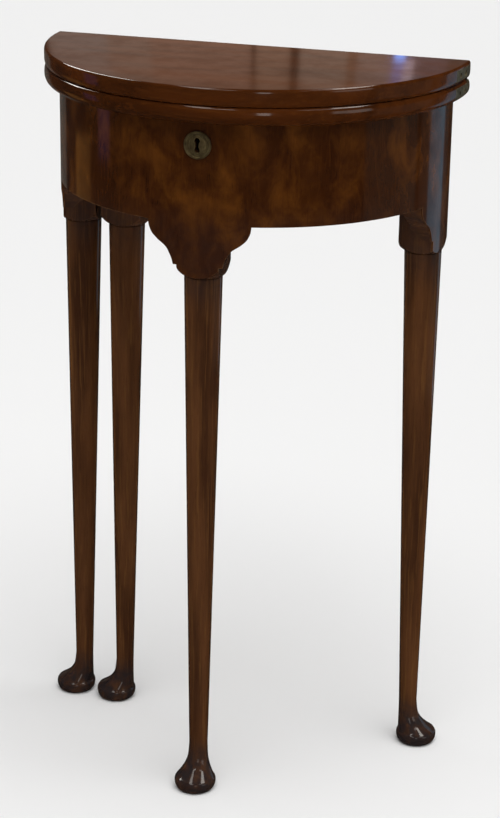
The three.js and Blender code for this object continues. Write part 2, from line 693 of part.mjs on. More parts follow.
// The sliding bolt: a bar with one hooked finger for each staple, and a talon that the key turns against.
function lockBolt() {
  const depth = lockDepth / 2 - lockWall - clearance;
  const left = -stapleX - fingerStart - uprightWidth;
  const right = stapleX + fingerStart / 2;
  let body = block([left, lockMidY - depth, boltLowZ], [right, lockMidY + depth, boltTopZ]);
  [-stapleX, stapleX].forEach((x) => {
    const start = x - fingerStart;
    const near = lockMidY - fingerWidth / 2;
    const far = lockMidY + fingerWidth / 2;
    body = body.add(block([start - uprightWidth, near, boltLowZ], [start, far, fingerHighZ]));
    body = body.add(block([start - uprightWidth, near, fingerLowZ], [start + fingerLength, far, fingerHighZ]));
  });
  const low = [-talonWidth / 2, lockFrontY, boltLowZ - overrun];
  return body.subtract(block(low, [talonWidth / 2, lockBackY, boltLowZ + talonDepth]));
}
addPiece("lock_bolt", lockBolt(), "iron");
addPair("lock_screw", screw(...lockScrewAt, 0, lockScrewLength), "brass");

// Round brass escutcheon: a flat ring with a raised rim and a domed oval, bent to the frieze.
function escutcheon() {
  const crown = escutcheonRim / 3;
  const rimInner = escutcheonRadius - escutcheonRim;
  const rimTop = escutcheonThickness + escutcheonRimHeight;
  const edge = [[escutcheonRadius, 0], [escutcheonRadius, escutcheonThickness]];
  const rim = [[escutcheonRadius - crown, rimTop], [rimInner + crown, rimTop]];
  const flat = [[rimInner, escutcheonThickness], [0, escutcheonThickness]];
  const plate = turned([[0, 0], ...edge, ...rim, ...flat], shoulderSides);
  const dome = quarter([0, escutcheonThickness], [1, escutcheonBossRise], 0, 90, 4).slice(0, -1);
  const domeTop = [0, escutcheonThickness + escutcheonBossRise];
  const boss = turned([[0, 0], [1, 0], ...dome, domeTop], legSides);
  // Stood up on the front: the plate's own z becomes -y.
  const domed = plate.add(boss.scale([escutcheonBossWidth, escutcheonBossHeight, 1]));
  const upright = domed.rotate([90, 0, 0]).translate([0, -friezeRadius - clearance, keyholeHeight]);
  const cut = upright.subtract(keyhole(-friezeRadius - overrun, -friezeRadius + overrun));
  return cut.warp((point) => {
    point[1] += friezeRadius - Math.sqrt(friezeRadius ** 2 - point[0] ** 2);
  });
}
addPiece("escutcheon", escutcheon(), "brass");

// Lid hinge on the right: knuckles in three parts on one pin below the lid's back edge.
const lidBarrelAt = [lidAxisY, lidAxisZ];
function lidKnuckle(part) {
  const step = lidHingeLength / 3;
  const start = lidHingeX - lidHingeLength / 2 + part * step;
  return [start + (part ? clearance / 2 : 0), start + step - (part === 2 ? 0 : clearance / 2)];
}
const lidHingeHalf = lidHingeLength / 2;
const lidBoreEnds = [lidHingeX - lidHingeHalf - overrun, lidHingeX + lidHingeHalf + overrun];
const lidBore = rod("x", lidPinRadius + clearance, ...lidBoreEnds, lidBarrelAt);
function lidFrameLeaf() {
  const front = postBackY - brassThickness;
  const plateTopZ = lidAxisZ - barrelRadius - clearance;
  const low = [lidHingeX - lidHingeHalf, front, lidAxisZ - lidHingeDepth];
  let body = block(low, [lidHingeX + lidHingeHalf, postBackY, plateTopZ]);
  [0, 2].forEach((part) => {
    const [from, to] = lidKnuckle(part);
    body = body.add(rod("x", barrelRadius, from, to, lidBarrelAt, barrelSides));
    body = body.add(block([from, front, plateTopZ - brassThickness], [to, lidAxisY, lidAxisZ]));
  });
  body = body.subtract(lidBore);
  lidScrews.forEach(({ frame }) => {
    body = body.subtract(screw(...frame, clearance));
  });
  return body;
}
function lidLeaf() {
  const near = lidAxisY - clearance;
  const topZ = lidUnderZ + brassThickness;
  const low = [lidHingeX - lidHingeHalf, lidAxisY - lidHingeDepth, lidUnderZ];
  let body = block(low, [lidHingeX + lidHingeHalf, near, topZ]);
  const [from, to] = lidKnuckle(1);
  body = body.add(rod("x", barrelRadius, from, to, lidBarrelAt, barrelSides));
  body = body.add(block([from, postBackY + clearance, lidAxisZ], [to, near, topZ])).subtract(lidBore);
  lidScrews.forEach(({ lid }) => {
    body = body.subtract(screw(...lid, clearance));
  });
  return body;
}
addPair("lid_hinge_frame_leaf", lidFrameLeaf(), "brass");
addPair("lid_hinge_lid_leaf", lidLeaf(), "brass");
const lidPinEnds = [lidHingeX - lidHingeHalf, lidHingeX + lidHingeHalf];
addPair("lid_hinge_pin", rod("x", lidPinRadius, ...lidPinEnds, lidBarrelAt), "brass");
lidScrews.forEach(({ frame, lid }, i) => {
  addPair("lid_hinge_frame_screw_" + (i + 1), screw(...frame), "brass");
  addPair("lid_hinge_lid_screw_" + (i + 1), screw(...lid), "brass");
});

// Brass plate with two staples, let into the underside of the lid above the lock.
function staplePlateSeat(play) {
  const half = staplePlateLength / 2 + play;
  const width = staplePlateWidth / 2 + play;
  const bottom = play ? lidUnderZ - overrun : lidUnderZ;
  return block([-half, lockMidY - width, bottom], [half, lockMidY + width, lidUnderZ + brassThickness + play]);
}
function staplePlate() {
  let body = staplePlateSeat(0);
  const halfX = stapleThickness / 2;
  const halfY = stapleWidth / 2;
  const gapY = windowWidth / 2;
  const gapTopZ = windowLowZ + windowHeight;
  [-stapleX, stapleX].forEach((x) => {
    const low = [x - halfX, lockMidY - halfY, stapleBottomZ];
    body = body.add(block(low, [x + halfX, lockMidY + halfY, lidUnderZ + brassThickness / 2]));
    const corner = [x - stapleThickness, lockMidY - gapY, windowLowZ];
    body = body.subtract(block(corner, [x + stapleThickness, lockMidY + gapY, gapTopZ]));
  });
  const hole = screw(...staplePlateScrewAt, clearance);
  return body.subtract(hole).subtract(mirrored(hole));
}
addPiece("staple_plate", staplePlate(), "brass");
addPair("staple_plate_screw", screw(...staplePlateScrewAt), "brass");

// A leaf's outer form: a half-round board with a moulded edge, drawn from its joint side up.
function leafBoard(outerInset, outerRise) {
  const joint = quarter([leafRadius - jointInset, jointRise], [jointInset, jointRise], -90, 0, 3);
  const centre = [leafRadius - outerInset, leafThickness - outerRise];
  const outer = quarter(centre, [outerInset, outerRise], 0, 90, 4);
  const disc = turned([[0, 0], ...joint, ...outer, [0, leafThickness]], leafSteps);
  const wide = leafRadius + overrun;
  const kept = block([-wide, -wide, -overrun], [wide, 0, leafThickness + overrun]);
  // The back arris on the joint side is rounded about the rivets' axis.
  const radius = linkReach - clearance / 2;
  const corner = block([-wide, -axisInset, -overrun], [wide, overrun, radius]);
  const round = rod("x", radius, -wide, wide, [-axisInset, radius], shoulderSides);
  return disc.intersect(kept).subtract(corner.subtract(round));
}
const upperBoard = leafBoard(topArrisInset, topArrisRise).translate([0, 0, leafJointZ + clearance / 2]);
const turnedDown = leafBoard(underInset, underRise).mirror([0, 0, 1]);
const lowerBoard = turnedDown.translate([0, 0, leafJointZ - clearance / 2]);

// Region of a leaf hinge's plate on the right: a bar along the edge, and a full corner round the rivet.
function plateRegion(middleZ, upwards, play) {
  const wide = leafRadius + overrun;
  const half = plateHeight / 2 + play;
  const outerZ = upwards ? middleZ + half : middleZ - half;
  const innerX = plateInnerX - play;
  const bar = block([innerX, -plateLength - play, middleZ - half], [wide, overrun, middleZ + half]);
  const cornerY = -axisInset - 2 * linkReach - play;
  const low = [innerX, cornerY, Math.min(leafJointZ, outerZ)];
  return bar.add(block(low, [wide, overrun, Math.max(leafJointZ, outerZ)]));
}
function hingePlate(board, middleZ, upwards, rivetZ) {
  let body = board.intersect(plateRegion(middleZ, upwards, 0));
  const away = upwards ? forkDepth : -forkDepth;
  const slotZ = [Math.min(leafJointZ, leafJointZ + away), Math.max(leafJointZ, leafJointZ + away)];
  body = body.subtract(block([forkInnerX, -forkDepth, slotZ[0]], [forkOuterX, overrun, slotZ[1]]));
  const ends = [plateInnerX - overrun, leafRadius + overrun];
  body = body.subtract(rod("x", rivetRadius + clearance, ...ends, [-axisInset, rivetZ]));
  [plateScrewNear, plateScrewFar].forEach((fromBack) => {
    body = body.subtract(screw(...plateScrew(fromBack, middleZ), clearance));
  });
  return body;
}

// Lower leaf: it is also the lid of the well.
function lowerLeaf() {
  const half = lidHingeHalf + clearance;
  const low = [lidHingeX - half, lidAxisY - lidHingeDepth - clearance, lidUnderZ - overrun];
  const seat = block(low, [lidHingeX + half, overrun, lidUnderZ + brassThickness + clearance]);
  let cuts = seat.add(plateRegion(lowerPlateZ, false, clearance));
  lidScrews.forEach(({ lid }) => {
    cuts = cuts.add(screw(...lid, clearance));
  });
  [plateScrewNear, plateScrewFar].forEach((fromBack) => {
    cuts = cuts.add(screw(...plateScrew(fromBack, lowerPlateZ), clearance));
  });
  cuts = cuts.add(screw(...staplePlateScrewAt, clearance));
  return lowerBoard.subtract(cuts).subtract(mirrored(cuts)).subtract(staplePlateSeat(clearance));
}
function upperLeaf() {
  let cuts = plateRegion(upperPlateZ, true, clearance);
  [plateScrewNear, plateScrewFar].forEach((fromBack) => {
    cuts = cuts.add(screw(...plateScrew(fromBack, upperPlateZ), clearance));
  });
  return upperBoard.subtract(cuts).subtract(mirrored(cuts));
}
addPiece("lower_leaf", lowerLeaf(), "mahogany");
addPiece("upper_leaf", upperLeaf(), "mahogany");
addPair("leaf_hinge_lower_plate", hingePlate(lowerBoard, lowerPlateZ, false, lowRivetZ), "brass");
addPair("leaf_hinge_upper_plate", hingePlate(upperBoard, upperPlateZ, true, highRivetZ), "brass");
[plateScrewNear, plateScrewFar].forEach((fromBack, i) => {
  addPair("leaf_hinge_lower_screw_" + (i + 1), screw(...plateScrew(fromBack, lowerPlateZ)), "brass");
  addPair("leaf_hinge_upper_screw_" + (i + 1), screw(...plateScrew(fromBack, upperPlateZ)), "brass");
});

// Link of a leaf hinge with its two rivets, in the forks of both plates.
function hingeLink() {
  const inner = forkInnerX + clearance;
  const outer = forkOuterX - clearance;
  let body = block([inner, -axisInset - linkRadius, lowRivetZ], [outer, -axisInset + linkRadius, highRivetZ]);
  [lowRivetZ, highRivetZ].forEach((z) => {
    body = body.add(rod("x", linkRadius, inner, outer, [-axisInset, z], barrelSides));
    body = body.add(rod("x", rivetRadius, plateInnerX + clearance, rivetOuterX, [-axisInset, z]));
  });
  return body;
}
addPair("leaf_hinge_link", hingeLink(), "brass");

export default table;
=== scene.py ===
from contextlib import contextmanager
from math import atan2, cos, pi, radians, sin, sqrt

import bpy
from mathutils import Matrix, Vector


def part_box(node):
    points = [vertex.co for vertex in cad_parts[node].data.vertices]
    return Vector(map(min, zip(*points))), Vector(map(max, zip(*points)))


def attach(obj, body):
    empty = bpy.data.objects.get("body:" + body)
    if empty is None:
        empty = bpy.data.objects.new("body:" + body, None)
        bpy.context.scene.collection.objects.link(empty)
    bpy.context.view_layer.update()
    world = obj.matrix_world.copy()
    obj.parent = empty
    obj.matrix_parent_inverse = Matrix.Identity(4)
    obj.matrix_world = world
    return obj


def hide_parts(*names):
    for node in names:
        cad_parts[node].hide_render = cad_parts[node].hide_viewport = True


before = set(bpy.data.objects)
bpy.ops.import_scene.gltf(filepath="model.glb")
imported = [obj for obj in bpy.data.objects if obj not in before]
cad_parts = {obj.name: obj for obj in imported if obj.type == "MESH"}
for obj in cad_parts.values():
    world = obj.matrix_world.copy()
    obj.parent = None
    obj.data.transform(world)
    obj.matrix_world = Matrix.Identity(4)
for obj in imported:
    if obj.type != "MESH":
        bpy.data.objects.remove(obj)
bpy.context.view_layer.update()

# Legs: solid mahogany, turned from square posts that keep a block at the top. The pad foot is turned on a
# second centre, out towards the toe, and a block's lower corners are rounded down to the turning. The
# table's sizes are in millimetres, and those of the finishes and the studio in metres.
MM = 0.001
BACK_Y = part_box("upper_leaf")[1].y
FRAME_TOP = 685.8
FRIEZE_HEIGHT = 96.4
FRIEZE_BOTTOM = FRAME_TOP - FRIEZE_HEIGHT
FRIEZE_RADIUS = 195.5
PLAY = 0.3
VENEER = 2
CORE_RADIUS = FRIEZE_RADIUS - VENEER - PLAY
CARCASS_BACK = -3
BLOCK_HALF = 20.5
BLOCK_BOTTOM = FRIEZE_BOTTOM - 52.4
SHOULDER = 12
SHOULDER_TOP = BLOCK_BOTTOM + SHOULDER
SHOULDER_SHARES = [(1, 0), (0.84, 0.3), (0.58, 0.62), (0.28, 0.88), (0, 1)]
LEG_TOP_RADIUS = 18.2
NECK_RADIUS = 17.5
NECK_DROP = 1.4
ANKLE_RADIUS = 9.3
ANKLE_HEIGHT = 46
PAD_RADIUS = 20.8
PAD_SHIFT = 9.8
PAD_RIM_HEIGHT = 13
LEG_SPLAY = 5
LEG_SIDES = 72
TAPER_STEPS = 12
REAR_LEG_X = 176.5
REAR_LEG_Y = CARCASS_BACK - BLOCK_HALF
FRONT_LEG_Y = BLOCK_HALF - FRIEZE_RADIUS
GATE_LEG_X = -128.3
GATE_BACK = -7
GATE_LEG_Y = GATE_BACK - BLOCK_HALF
FLY_RAIL_FRONT = GATE_BACK - 18
FLOOR_TOP = 611
LOCK_SEAT = -169.2
KEYHOLE_HEIGHT = 664
KEY_LOBE_RADIUS = 2.8
KEY_LOBE_GAP = 8.6
SLOT_TURN = radians(40)
LOBE_STEPS = 24
ARRIS = 0.5
LID_AXIS_Y = -0.3
LID_AXIS_Z = 683.4
LID_HINGE_HALF = 14
LID_HINGE_DEPTH = 22
SHEET = 1.8
OVERRUN = 6
SIDES = ((1, "right"), (-1, "left"))
RIM_SHARES = [
    (0.72, 0), (0.8, 0.025), (0.87, 0.09), (0.94, 0.24), (0.98, 0.42), (1, 0.62),
    (0.993, 0.78), (0.967, 0.9), (0.93, 0.97),
]
FLARE_SHARES = [
    (0.87, 0), (0.75, 0.045), (0.66, 0.09), (0.48, 0.18), (0.32, 0.28), (0.2, 0.39),
    (0.09, 0.53), (0.036, 0.73), (0, 1),
]


def at(x, y, z):
    """A place in the row frame, from millimetres measured from the middle of the straight back."""
    return Vector((x * MM, y * MM + BACK_Y, z * MM))


def select_only(piece):
    bpy.ops.object.select_all(action="DESELECT")
    piece.select_set(True)
    bpy.context.view_layer.objects.active = piece


def added(name):
    """The primitive that has just been added, named, with its place in its mesh."""
    piece = bpy.context.object
    piece.name = name
    piece.data.name = name
    bpy.ops.object.transform_apply(location=True, rotation=True, scale=True)
    return piece


def slab(name, low, high):
    bpy.ops.object.select_all(action="DESELECT")
    bpy.ops.mesh.primitive_cube_add(size=1, location=(low + high) / 2, scale=high - low)
    return added(name)


def block(name, *ranges):
    """A slab from its two ends across, from front to back and up, in millimetres and in any order."""
    low, high = zip(*(sorted(ends) for ends in ranges))
    return slab(name, at(*low), at(*high))


@contextmanager
def whole_mesh(piece):
    """Edit mode, with all of the piece's mesh selected."""
    select_only(piece)
    bpy.ops.object.mode_set(mode="EDIT")
    bpy.ops.mesh.select_all(action="SELECT")
    yield
    bpy.ops.object.mode_set(mode="OBJECT")


def rod(name, radius, start, end, sides=48):
    bpy.ops.object.select_all(action="DESELECT")
    turn = (end - start).to_track_quat("Z", "Y").to_euler()
    bpy.ops.mesh.primitive_cylinder_add(
        vertices=sides,
        radius=radius * MM,
        depth=(end - start).length,
        location=(start + end) / 2,
        rotation=turn,
    )
    return added(name)


def traced(name, points, filled=True):
    """A line extruded from point to point, closed with a face if it is filled."""
    bpy.ops.object.select_all(action="DESELECT")
    bpy.ops.mesh.primitive_plane_add(size=MM, location=points[0])
    piece = added(name)
    with whole_mesh(piece):
        bpy.ops.mesh.merge(type="CENTER")
        for here, there in zip(points, points[1:]):
            bpy.ops.mesh.extrude_vertices_move(TRANSFORM_OT_translate={"value": there - here})
        if filled:
            bpy.ops.mesh.select_all(action="SELECT")
            bpy.ops.mesh.edge_face_add()
    return piece


def tidied(piece):
    """Doubles merged, then all faces turned outwards."""
    with whole_mesh(piece):
        bpy.ops.mesh.remove_doubles(threshold=0.005 * MM)
        bpy.ops.mesh.normals_make_consistent(inside=False)
    return piece


def extruded(piece, move):
    with whole_mesh(piece):
        bpy.ops.mesh.extrude_region_move(TRANSFORM_OT_translate={"value": move})
    return tidied(piece)


def spun(piece, centre, angle, steps, axis=(0, 0, 1)):
    with whole_mesh(piece):
        bpy.ops.mesh.spin(steps=steps, angle=radians(angle), center=centre, axis=axis)
    return tidied(piece)


def combined(piece, other, how):
    """A boolean with another solid, which is used up by it."""
    modifier = piece.modifiers.new("carve", "BOOLEAN")
    modifier.operation = how
    modifier.solver = "EXACT"
    modifier.object = other
    select_only(piece)
    bpy.ops.object.modifier_apply(modifier=modifier.name)
    bpy.data.meshes.remove(other.data)
    return piece


def cut(piece, waste):
    return combined(piece, waste, "DIFFERENCE")


def joined(piece, other):
    return combined(piece, other, "UNION")


def kept_inside(piece, region):
    return combined(piece, region, "INTERSECT")


def softened(piece, width):
    """Sharp edges rubbed down to a small round."""
    modifier = piece.modifiers.new("arris", "BEVEL")
    modifier.width = width * MM
    modifier.segments = 2
    modifier.limit_method = "ANGLE"
    modifier.angle_limit = radians(35)
    select_only(piece)
    bpy.ops.object.modifier_apply(modifier=modifier.name)
    return piece


def between(t, a, b, c, d):
    """The value at t, from 0 at b to 1 at c, on a smooth curve through all four."""
    bend = 2 * a - 5 * b + 4 * c - d
    twist = 3 * b - a - 3 * c + d
    return 0.5 * (2 * b + (c - a) * t + bend * t ** 2 + twist * t ** 3)


def flowing(points, steps):
    """Smooth points through the given ones, with steps between each two."""
    ends = [points[0], *points, points[-1]]
    line = []
    for near in zip(ends, ends[1:], ends[2:], ends[3:]):
        for i in range(steps):
            line.append(tuple(between(i / steps, *values) for values in zip(*near)))
    return line + [points[-1]]


def lean(height):
    """How far the leg stands out towards its toe at a height."""
    return LEG_SPLAY * max(0, 1 - height / BLOCK_BOTTOM)


def leg_rings():
    """Rings of the turning from the floor up: radius, height and shift towards the toe."""
    rings = [(PAD_RADIUS * wide, PAD_RIM_HEIGHT * up, PAD_SHIFT) for wide, up in flowing(RIM_SHARES, 2)]
    for wide, up in flowing(FLARE_SHARES, 2):
        radius = ANKLE_RADIUS + (PAD_RADIUS - ANKLE_RADIUS) * wide
        height = PAD_RIM_HEIGHT + (ANKLE_HEIGHT - PAD_RIM_HEIGHT) * up
        rings.append((radius, height, min(radius - ANKLE_RADIUS, PAD_SHIFT)))
    neck = BLOCK_BOTTOM - NECK_DROP
    rise = neck - ANKLE_HEIGHT
    for i in range(1, TAPER_STEPS + 1):
        share = i / TAPER_STEPS
        radius = ANKLE_RADIUS + (LEG_TOP_RADIUS - ANKLE_RADIUS) * share
        rings.append((radius, ANKLE_HEIGHT + rise * share, 0))
    rings.append((NECK_RADIUS + 0.2, neck + 0.25, 0))
    rings.append((NECK_RADIUS, neck + 0.5, 0))
    rings.append((NECK_RADIUS, SHOULDER_TOP - 1, 0))
    return [(radius, height, shift + lean(height)) for radius, height, shift in rings]


def turned_leg(name, x, y, toe):
    """A ring at the floor, extruded and resized up the leg."""
    rings = leg_rings()
    bpy.ops.object.select_all(action="DESELECT")
    radius, height, shift = rings[0]
    start = at(x + toe[0] * shift, y + toe[1] * shift, height)
    bpy.ops.mesh.primitive_circle_add(
        vertices=LEG_SIDES, radius=radius * MM, fill_type="NGON", location=start
    )
    piece = added(name)
    with whole_mesh(piece):
        for ring, following in zip(rings, rings[1:]):
            move = following[2] - ring[2]
            value = Vector((toe[0] * move, toe[1] * move, following[1] - ring[1])) * MM
            bpy.ops.mesh.extrude_region_move(TRANSFORM_OT_translate={"value": value})
            grow = following[0] / ring[0]
            centre = at(x + toe[0] * following[2], y + toe[1] * following[2], following[1])
            bpy.ops.transform.resize(value=(grow, grow, 1), center_override=centre)
    return tidied(piece)


def shoulder_waste(x, y):
    """What is turned away to round a block's lower corners."""
    inner = LEG_TOP_RADIUS + PLAY
    outer = BLOCK_HALF * sqrt(2) + PLAY
    sweep = []
    for out, down in flowing(SHOULDER_SHARES, 4):
        sweep.append((inner + (outer - inner) * out, SHOULDER_TOP - SHOULDER * down))
    low = BLOCK_BOTTOM - OVERRUN
    outline = [(2 * outer, low), (2 * outer, SHOULDER_TOP), *sweep, (inner, low), (2 * outer, low)]
    points = [at(x + across, y, height) for across, height in outline]
    return spun(traced("waste", points, filled=False), at(x, y, 0), 360, 96)


def around(middle, half):
    return middle - half, middle + half


def square_post(name, x, y):
    """The leg's upper part, square down to its rounded corners."""
    post = block(name, around(x, BLOCK_HALF), around(y, BLOCK_HALF), (BLOCK_BOTTOM, FRAME_TOP))
    return cut(softened(post, ARRIS), shoulder_waste(x, y))


def whole_leg(name, x, y, toe):
    return joined(square_post(name, x, y), turned_leg("turning", x, y, toe))


def cut_to_core(leg, across, deep):
    """A post cut back to the half-round inside the veneer. The ranges hold the whole post."""
    outside = block("outside", across, deep, (BLOCK_BOTTOM, FRAME_TOP + OVERRUN))
    low = at(0, 0, BLOCK_BOTTOM - OVERRUN)
    cut(leg, cut(outside, rod("core", CORE_RADIUS, low, at(0, 0, FRAME_TOP + 2 * OVERRUN), 360)))


def keyhole(start, end):
    """Two round holes joined by a slot, as an outline extruded from front to back."""
    outline = []
    for turn, middle in ((1, KEY_LOBE_GAP / 2), (-1, -KEY_LOBE_GAP / 2)):
        for i in range(LOBE_STEPS + 1):
            angle = SLOT_TURN - pi / 2 + (2 * pi - 2 * SLOT_TURN) * i / LOBE_STEPS
            across = KEY_LOBE_RADIUS * cos(angle)
            outline.append((turn * across, middle + turn * KEY_LOBE_RADIUS * sin(angle)))
    points = [at(across, start, KEYHOLE_HEIGHT + rise) for across, rise in outline]
    return extruded(traced("keyhole", points), Vector((0, (end - start) * MM, 0)))


front_leg = whole_leg("leg_front", 0, FRONT_LEG_Y, (0, -1))
cut_to_core(front_leg, (-40, 40), (-260, -120))
cut(front_leg, block("waste", (-40, 40), (LOCK_SEAT, 0), (FLOOR_TOP, FRAME_TOP + OVERRUN)))
cut(front_leg, keyhole(-FRIEZE_RADIUS - OVERRUN, LOCK_SEAT + OVERRUN))
rear_legs = []
for side, label in SIDES:
    x = side * REAR_LEG_X
    leg = whole_leg("leg_rear_" + label, x, REAR_LEG_Y, (side, 0))
    cut_to_core(leg, (side * 140, side * 260), (-60, 10))
    deep = (CARCASS_BACK - SHEET - PLAY, 0)
    high = (LID_AXIS_Z - LID_HINGE_DEPTH - PLAY, FRAME_TOP + OVERRUN)
    cut(leg, block("hinge_seat", around(x, LID_HINGE_HALF + PLAY), deep, high))
    rear_legs.append(leg)
gate_leg = whole_leg("leg_gate", GATE_LEG_X, GATE_LEG_Y, (-1, 0))
before_rail = (GATE_LEG_Y - 30, FLY_RAIL_FRONT)
beside_frieze = (FRIEZE_BOTTOM - PLAY, FRAME_TOP + OVERRUN)
cut(gate_leg, block("waste", around(GATE_LEG_X, 30), before_rail, beside_frieze))


def new_group(name, inputs, outputs):
    """A shader node group with named inputs and outputs: (name, kind, default) for each input."""
    group = bpy.data.node_groups.new(name, "ShaderNodeTree")
    for label, kind, default in inputs:
        socket = group.interface.new_socket(name=label, in_out="INPUT", socket_type="NodeSocket" + kind)
        if default is not None:
            socket.default_value = default
    for label, kind in outputs:
        group.interface.new_socket(name=label, in_out="OUTPUT", socket_type="NodeSocket" + kind)
    return group


class Tree:
    """Adds nodes to a tree, from their kind, settings and what feeds their inputs."""

    def __init__(self, nodes_of):
        self.nodes = nodes_of.nodes
        self.links = nodes_of.links

    def add(self, kind, inputs=(), **settings):
        prefix = "Node" if kind in ("GroupInput", "GroupOutput") else "ShaderNode"
        node = self.nodes.new(prefix + kind)
        for name, value in settings.items():
            setattr(node, name, value)
        for name, value in dict(inputs).items():
            socket = node.inputs[name]
            if isinstance(value, bpy.types.NodeSocket):
                self.links.new(value, socket)
            else:
                socket.default_value = value
        return node

    def maths(self, operation, first, second=None, third=None, clamp=False):
        inputs = {i: value for i, value in enumerate((first, second, third)) if value is not None}
        return self.add("Math", inputs, operation=operation, use_clamp=clamp).outputs[0]

    def scaled(self, vector, factors):
        return self.add("VectorMath", {0: vector, 1: factors}, operation="MULTIPLY").outputs[0]

    def noise(self, vector, scale, detail, rough=0.5, distortion=0.0):
        inputs = {"Vector": vector, "Scale": scale, "Detail": detail}
        inputs.update({"Roughness": rough, "Distortion": distortion})
        return self.add("TexNoise", inputs).outputs["Fac"]

    def ranged(self, value, low, high, to_low=0.0, to_high=1.0):
        inputs = {"Value": value, "From Min": low, "From Max": high, "To Min": to_low, "To Max": to_high}
        return self.add("MapRange", inputs, interpolation_type="SMOOTHSTEP").outputs["Result"]

    def mixed(self, factor, first, second, blend="MIX"):
        inputs = {0: factor, 6: first, 7: second}
        return self.add("Mix", inputs, data_type="RGBA", blend_type=blend).outputs[2]


def wood_grain_group():
    """Grain along X: broad bands, fine streaks and short open pores, wandering a little."""
    group = new_group(
        "wood_grain",
        [
            ("Vector", "Vector", None),
            ("Light Colour", "Color", None),
            ("Dark Colour", "Color", None),
            ("Streak Colour", "Color", None),
            ("Band Scale", "Float", 26.0),
            ("Streak Scale", "Float", 300.0),
            ("Figure", "Float", 0.004),
            ("Flame", "Float", 0.0),
            ("Contrast", "Float", 1.0),
        ],
        [("Colour", "Color"), ("Roughness", "Float"), ("Height", "Float")],
    )
    tree = Tree(group)
    given = tree.add("GroupInput").outputs
    place = given["Vector"]
    wander = tree.add("TexNoise", {"Vector": place, "Scale": 9.0, "Detail": 3.0}).outputs["Color"]
    centred = tree.add("VectorMath", {0: wander, 1: (0.5, 0.5, 0.5)}, operation="SUBTRACT").outputs[0]
    sway = tree.add("VectorMath", {0: centred, "Scale": given["Figure"]}, operation="SCALE").outputs[0]
    warped = tree.add("VectorMath", {0: place, 1: sway}, operation="ADD").outputs[0]
    broad = tree.noise(tree.scaled(warped, (0.09, 1.0, 1.0)), given["Band Scale"], 4.0, 0.55)
    streak = tree.noise(tree.scaled(warped, (0.025, 1.0, 1.0)), given["Streak Scale"], 3.0, 0.6)
    flame = tree.noise(tree.scaled(warped, (0.62, 1.0, 1.0)), 38.0, 4.0, 0.6, 0.3)
    pores = tree.noise(tree.scaled(place, (0.045, 1.0, 1.0)), 1900.0, 1.0, 0.5)
    pits = tree.ranged(pores, 0.6, 0.7)
    tone = tree.ranged(broad, 0.3, 0.7)
    flames = tree.ranged(flame, 0.4, 0.82)
    tone = tree.add("Mix", {0: given["Flame"], 2: tone, 3: flames}, data_type="FLOAT").outputs[0]
    middle = tree.maths("SUBTRACT", tone, 0.5)
    tone = tree.maths("ADD", tree.maths("MULTIPLY", middle, given["Contrast"]), 0.5, clamp=True)
    colour = tree.mixed(tone, given["Dark Colour"], given["Light Colour"])
    lines = tree.maths("MULTIPLY", tree.ranged(streak, 0.5, 0.72), 0.6)
    colour = tree.mixed(lines, colour, given["Streak Colour"])
    dull = tree.mixed(1.0, colour, (0.55, 0.5, 0.48, 1.0), "MULTIPLY")
    colour = tree.mixed(tree.maths("MULTIPLY", pits, 0.55), colour, dull)
    rough = tree.maths("ADD", tree.ranged(streak, 0.3, 0.8, 0.3, 0.42), tree.maths("MULTIPLY", pits, 0.12))
    relief = tree.maths("SUBTRACT", tree.maths("MULTIPLY", streak, 0.35), pits)
    tree.add("GroupOutput", {"Colour": colour, "Roughness": rough, "Height": relief})
    return group


def worn_edges_group():
    """A mask of the arrises, broken up as handling does."""
    group = new_group(
        "worn_edges",
        [("Vector", "Vector", None), ("Width", "Float", 0.001), ("Patch Scale", "Float", 60.0)],
        [("Mask", "Float")],
    )
    tree = Tree(group)
    given = tree.add("GroupInput").outputs
    rounded = tree.add("Bevel", {"Radius": given["Width"]}, samples=6).outputs["Normal"]
    plain = tree.add("NewGeometry").outputs["Normal"]
    facing = tree.add("VectorMath", {0: rounded, 1: plain}, operation="DOT_PRODUCT").outputs["Value"]
    edge = tree.ranged(facing, 0.995, 0.86)
    patch = tree.ranged(tree.noise(given["Vector"], given["Patch Scale"], 4.0, 0.65), 0.38, 0.62)
    tree.add("GroupOutput", {"Mask": tree.maths("MULTIPLY", edge, patch)})
    return group


def surface_marks_group():
    """Faint scratches, rubbed patches and dust in the polish, from 0 to 1."""
    group = new_group(
        "surface_marks",
        [("Vector", "Vector", None), ("Scale", "Float", 40.0)],
        [("Patches", "Float"), ("Scratches", "Float")],
    )
    tree = Tree(group)
    given = tree.add("GroupInput").outputs
    patches = tree.ranged(tree.noise(given["Vector"], given["Scale"], 5.0, 0.6), 0.35, 0.7)
    lines = []
    for turn, scale in ((0.5, 900.0), (-1.1, 1300.0)):
        turned_place = tree.add(
            "VectorRotate", {"Vector": given["Vector"], "Angle": turn}, rotation_type="Z_AXIS"
        ).outputs[0]
        thin = tree.noise(tree.scaled(turned_place, (0.02, 1.0, 1.0)), scale, 0.0)
        lines.append(tree.ranged(thin, 0.76, 0.8))
    scratches = tree.maths("MAXIMUM", *lines)
    tree.add("GroupOutput", {"Patches": patches, "Scratches": scratches})
    return group


wood_grain = wood_grain_group()
worn_edges = worn_edges_group()
surface_marks = surface_marks_group()
# Dark grey that the shades blend in: painted shade, and on the pads also dirt with a painted bluish
# reflection of the floor.
SHADE_DIRT_AND_SHEEN = (0.018, 0.0145, 0.0155, 1)


def new_material(name):
    """A material and the means to fill its empty tree."""
    material = bpy.data.materials.new(name)
    material.use_nodes = True
    material.node_tree.nodes.clear()
    return material, Tree(material.node_tree)


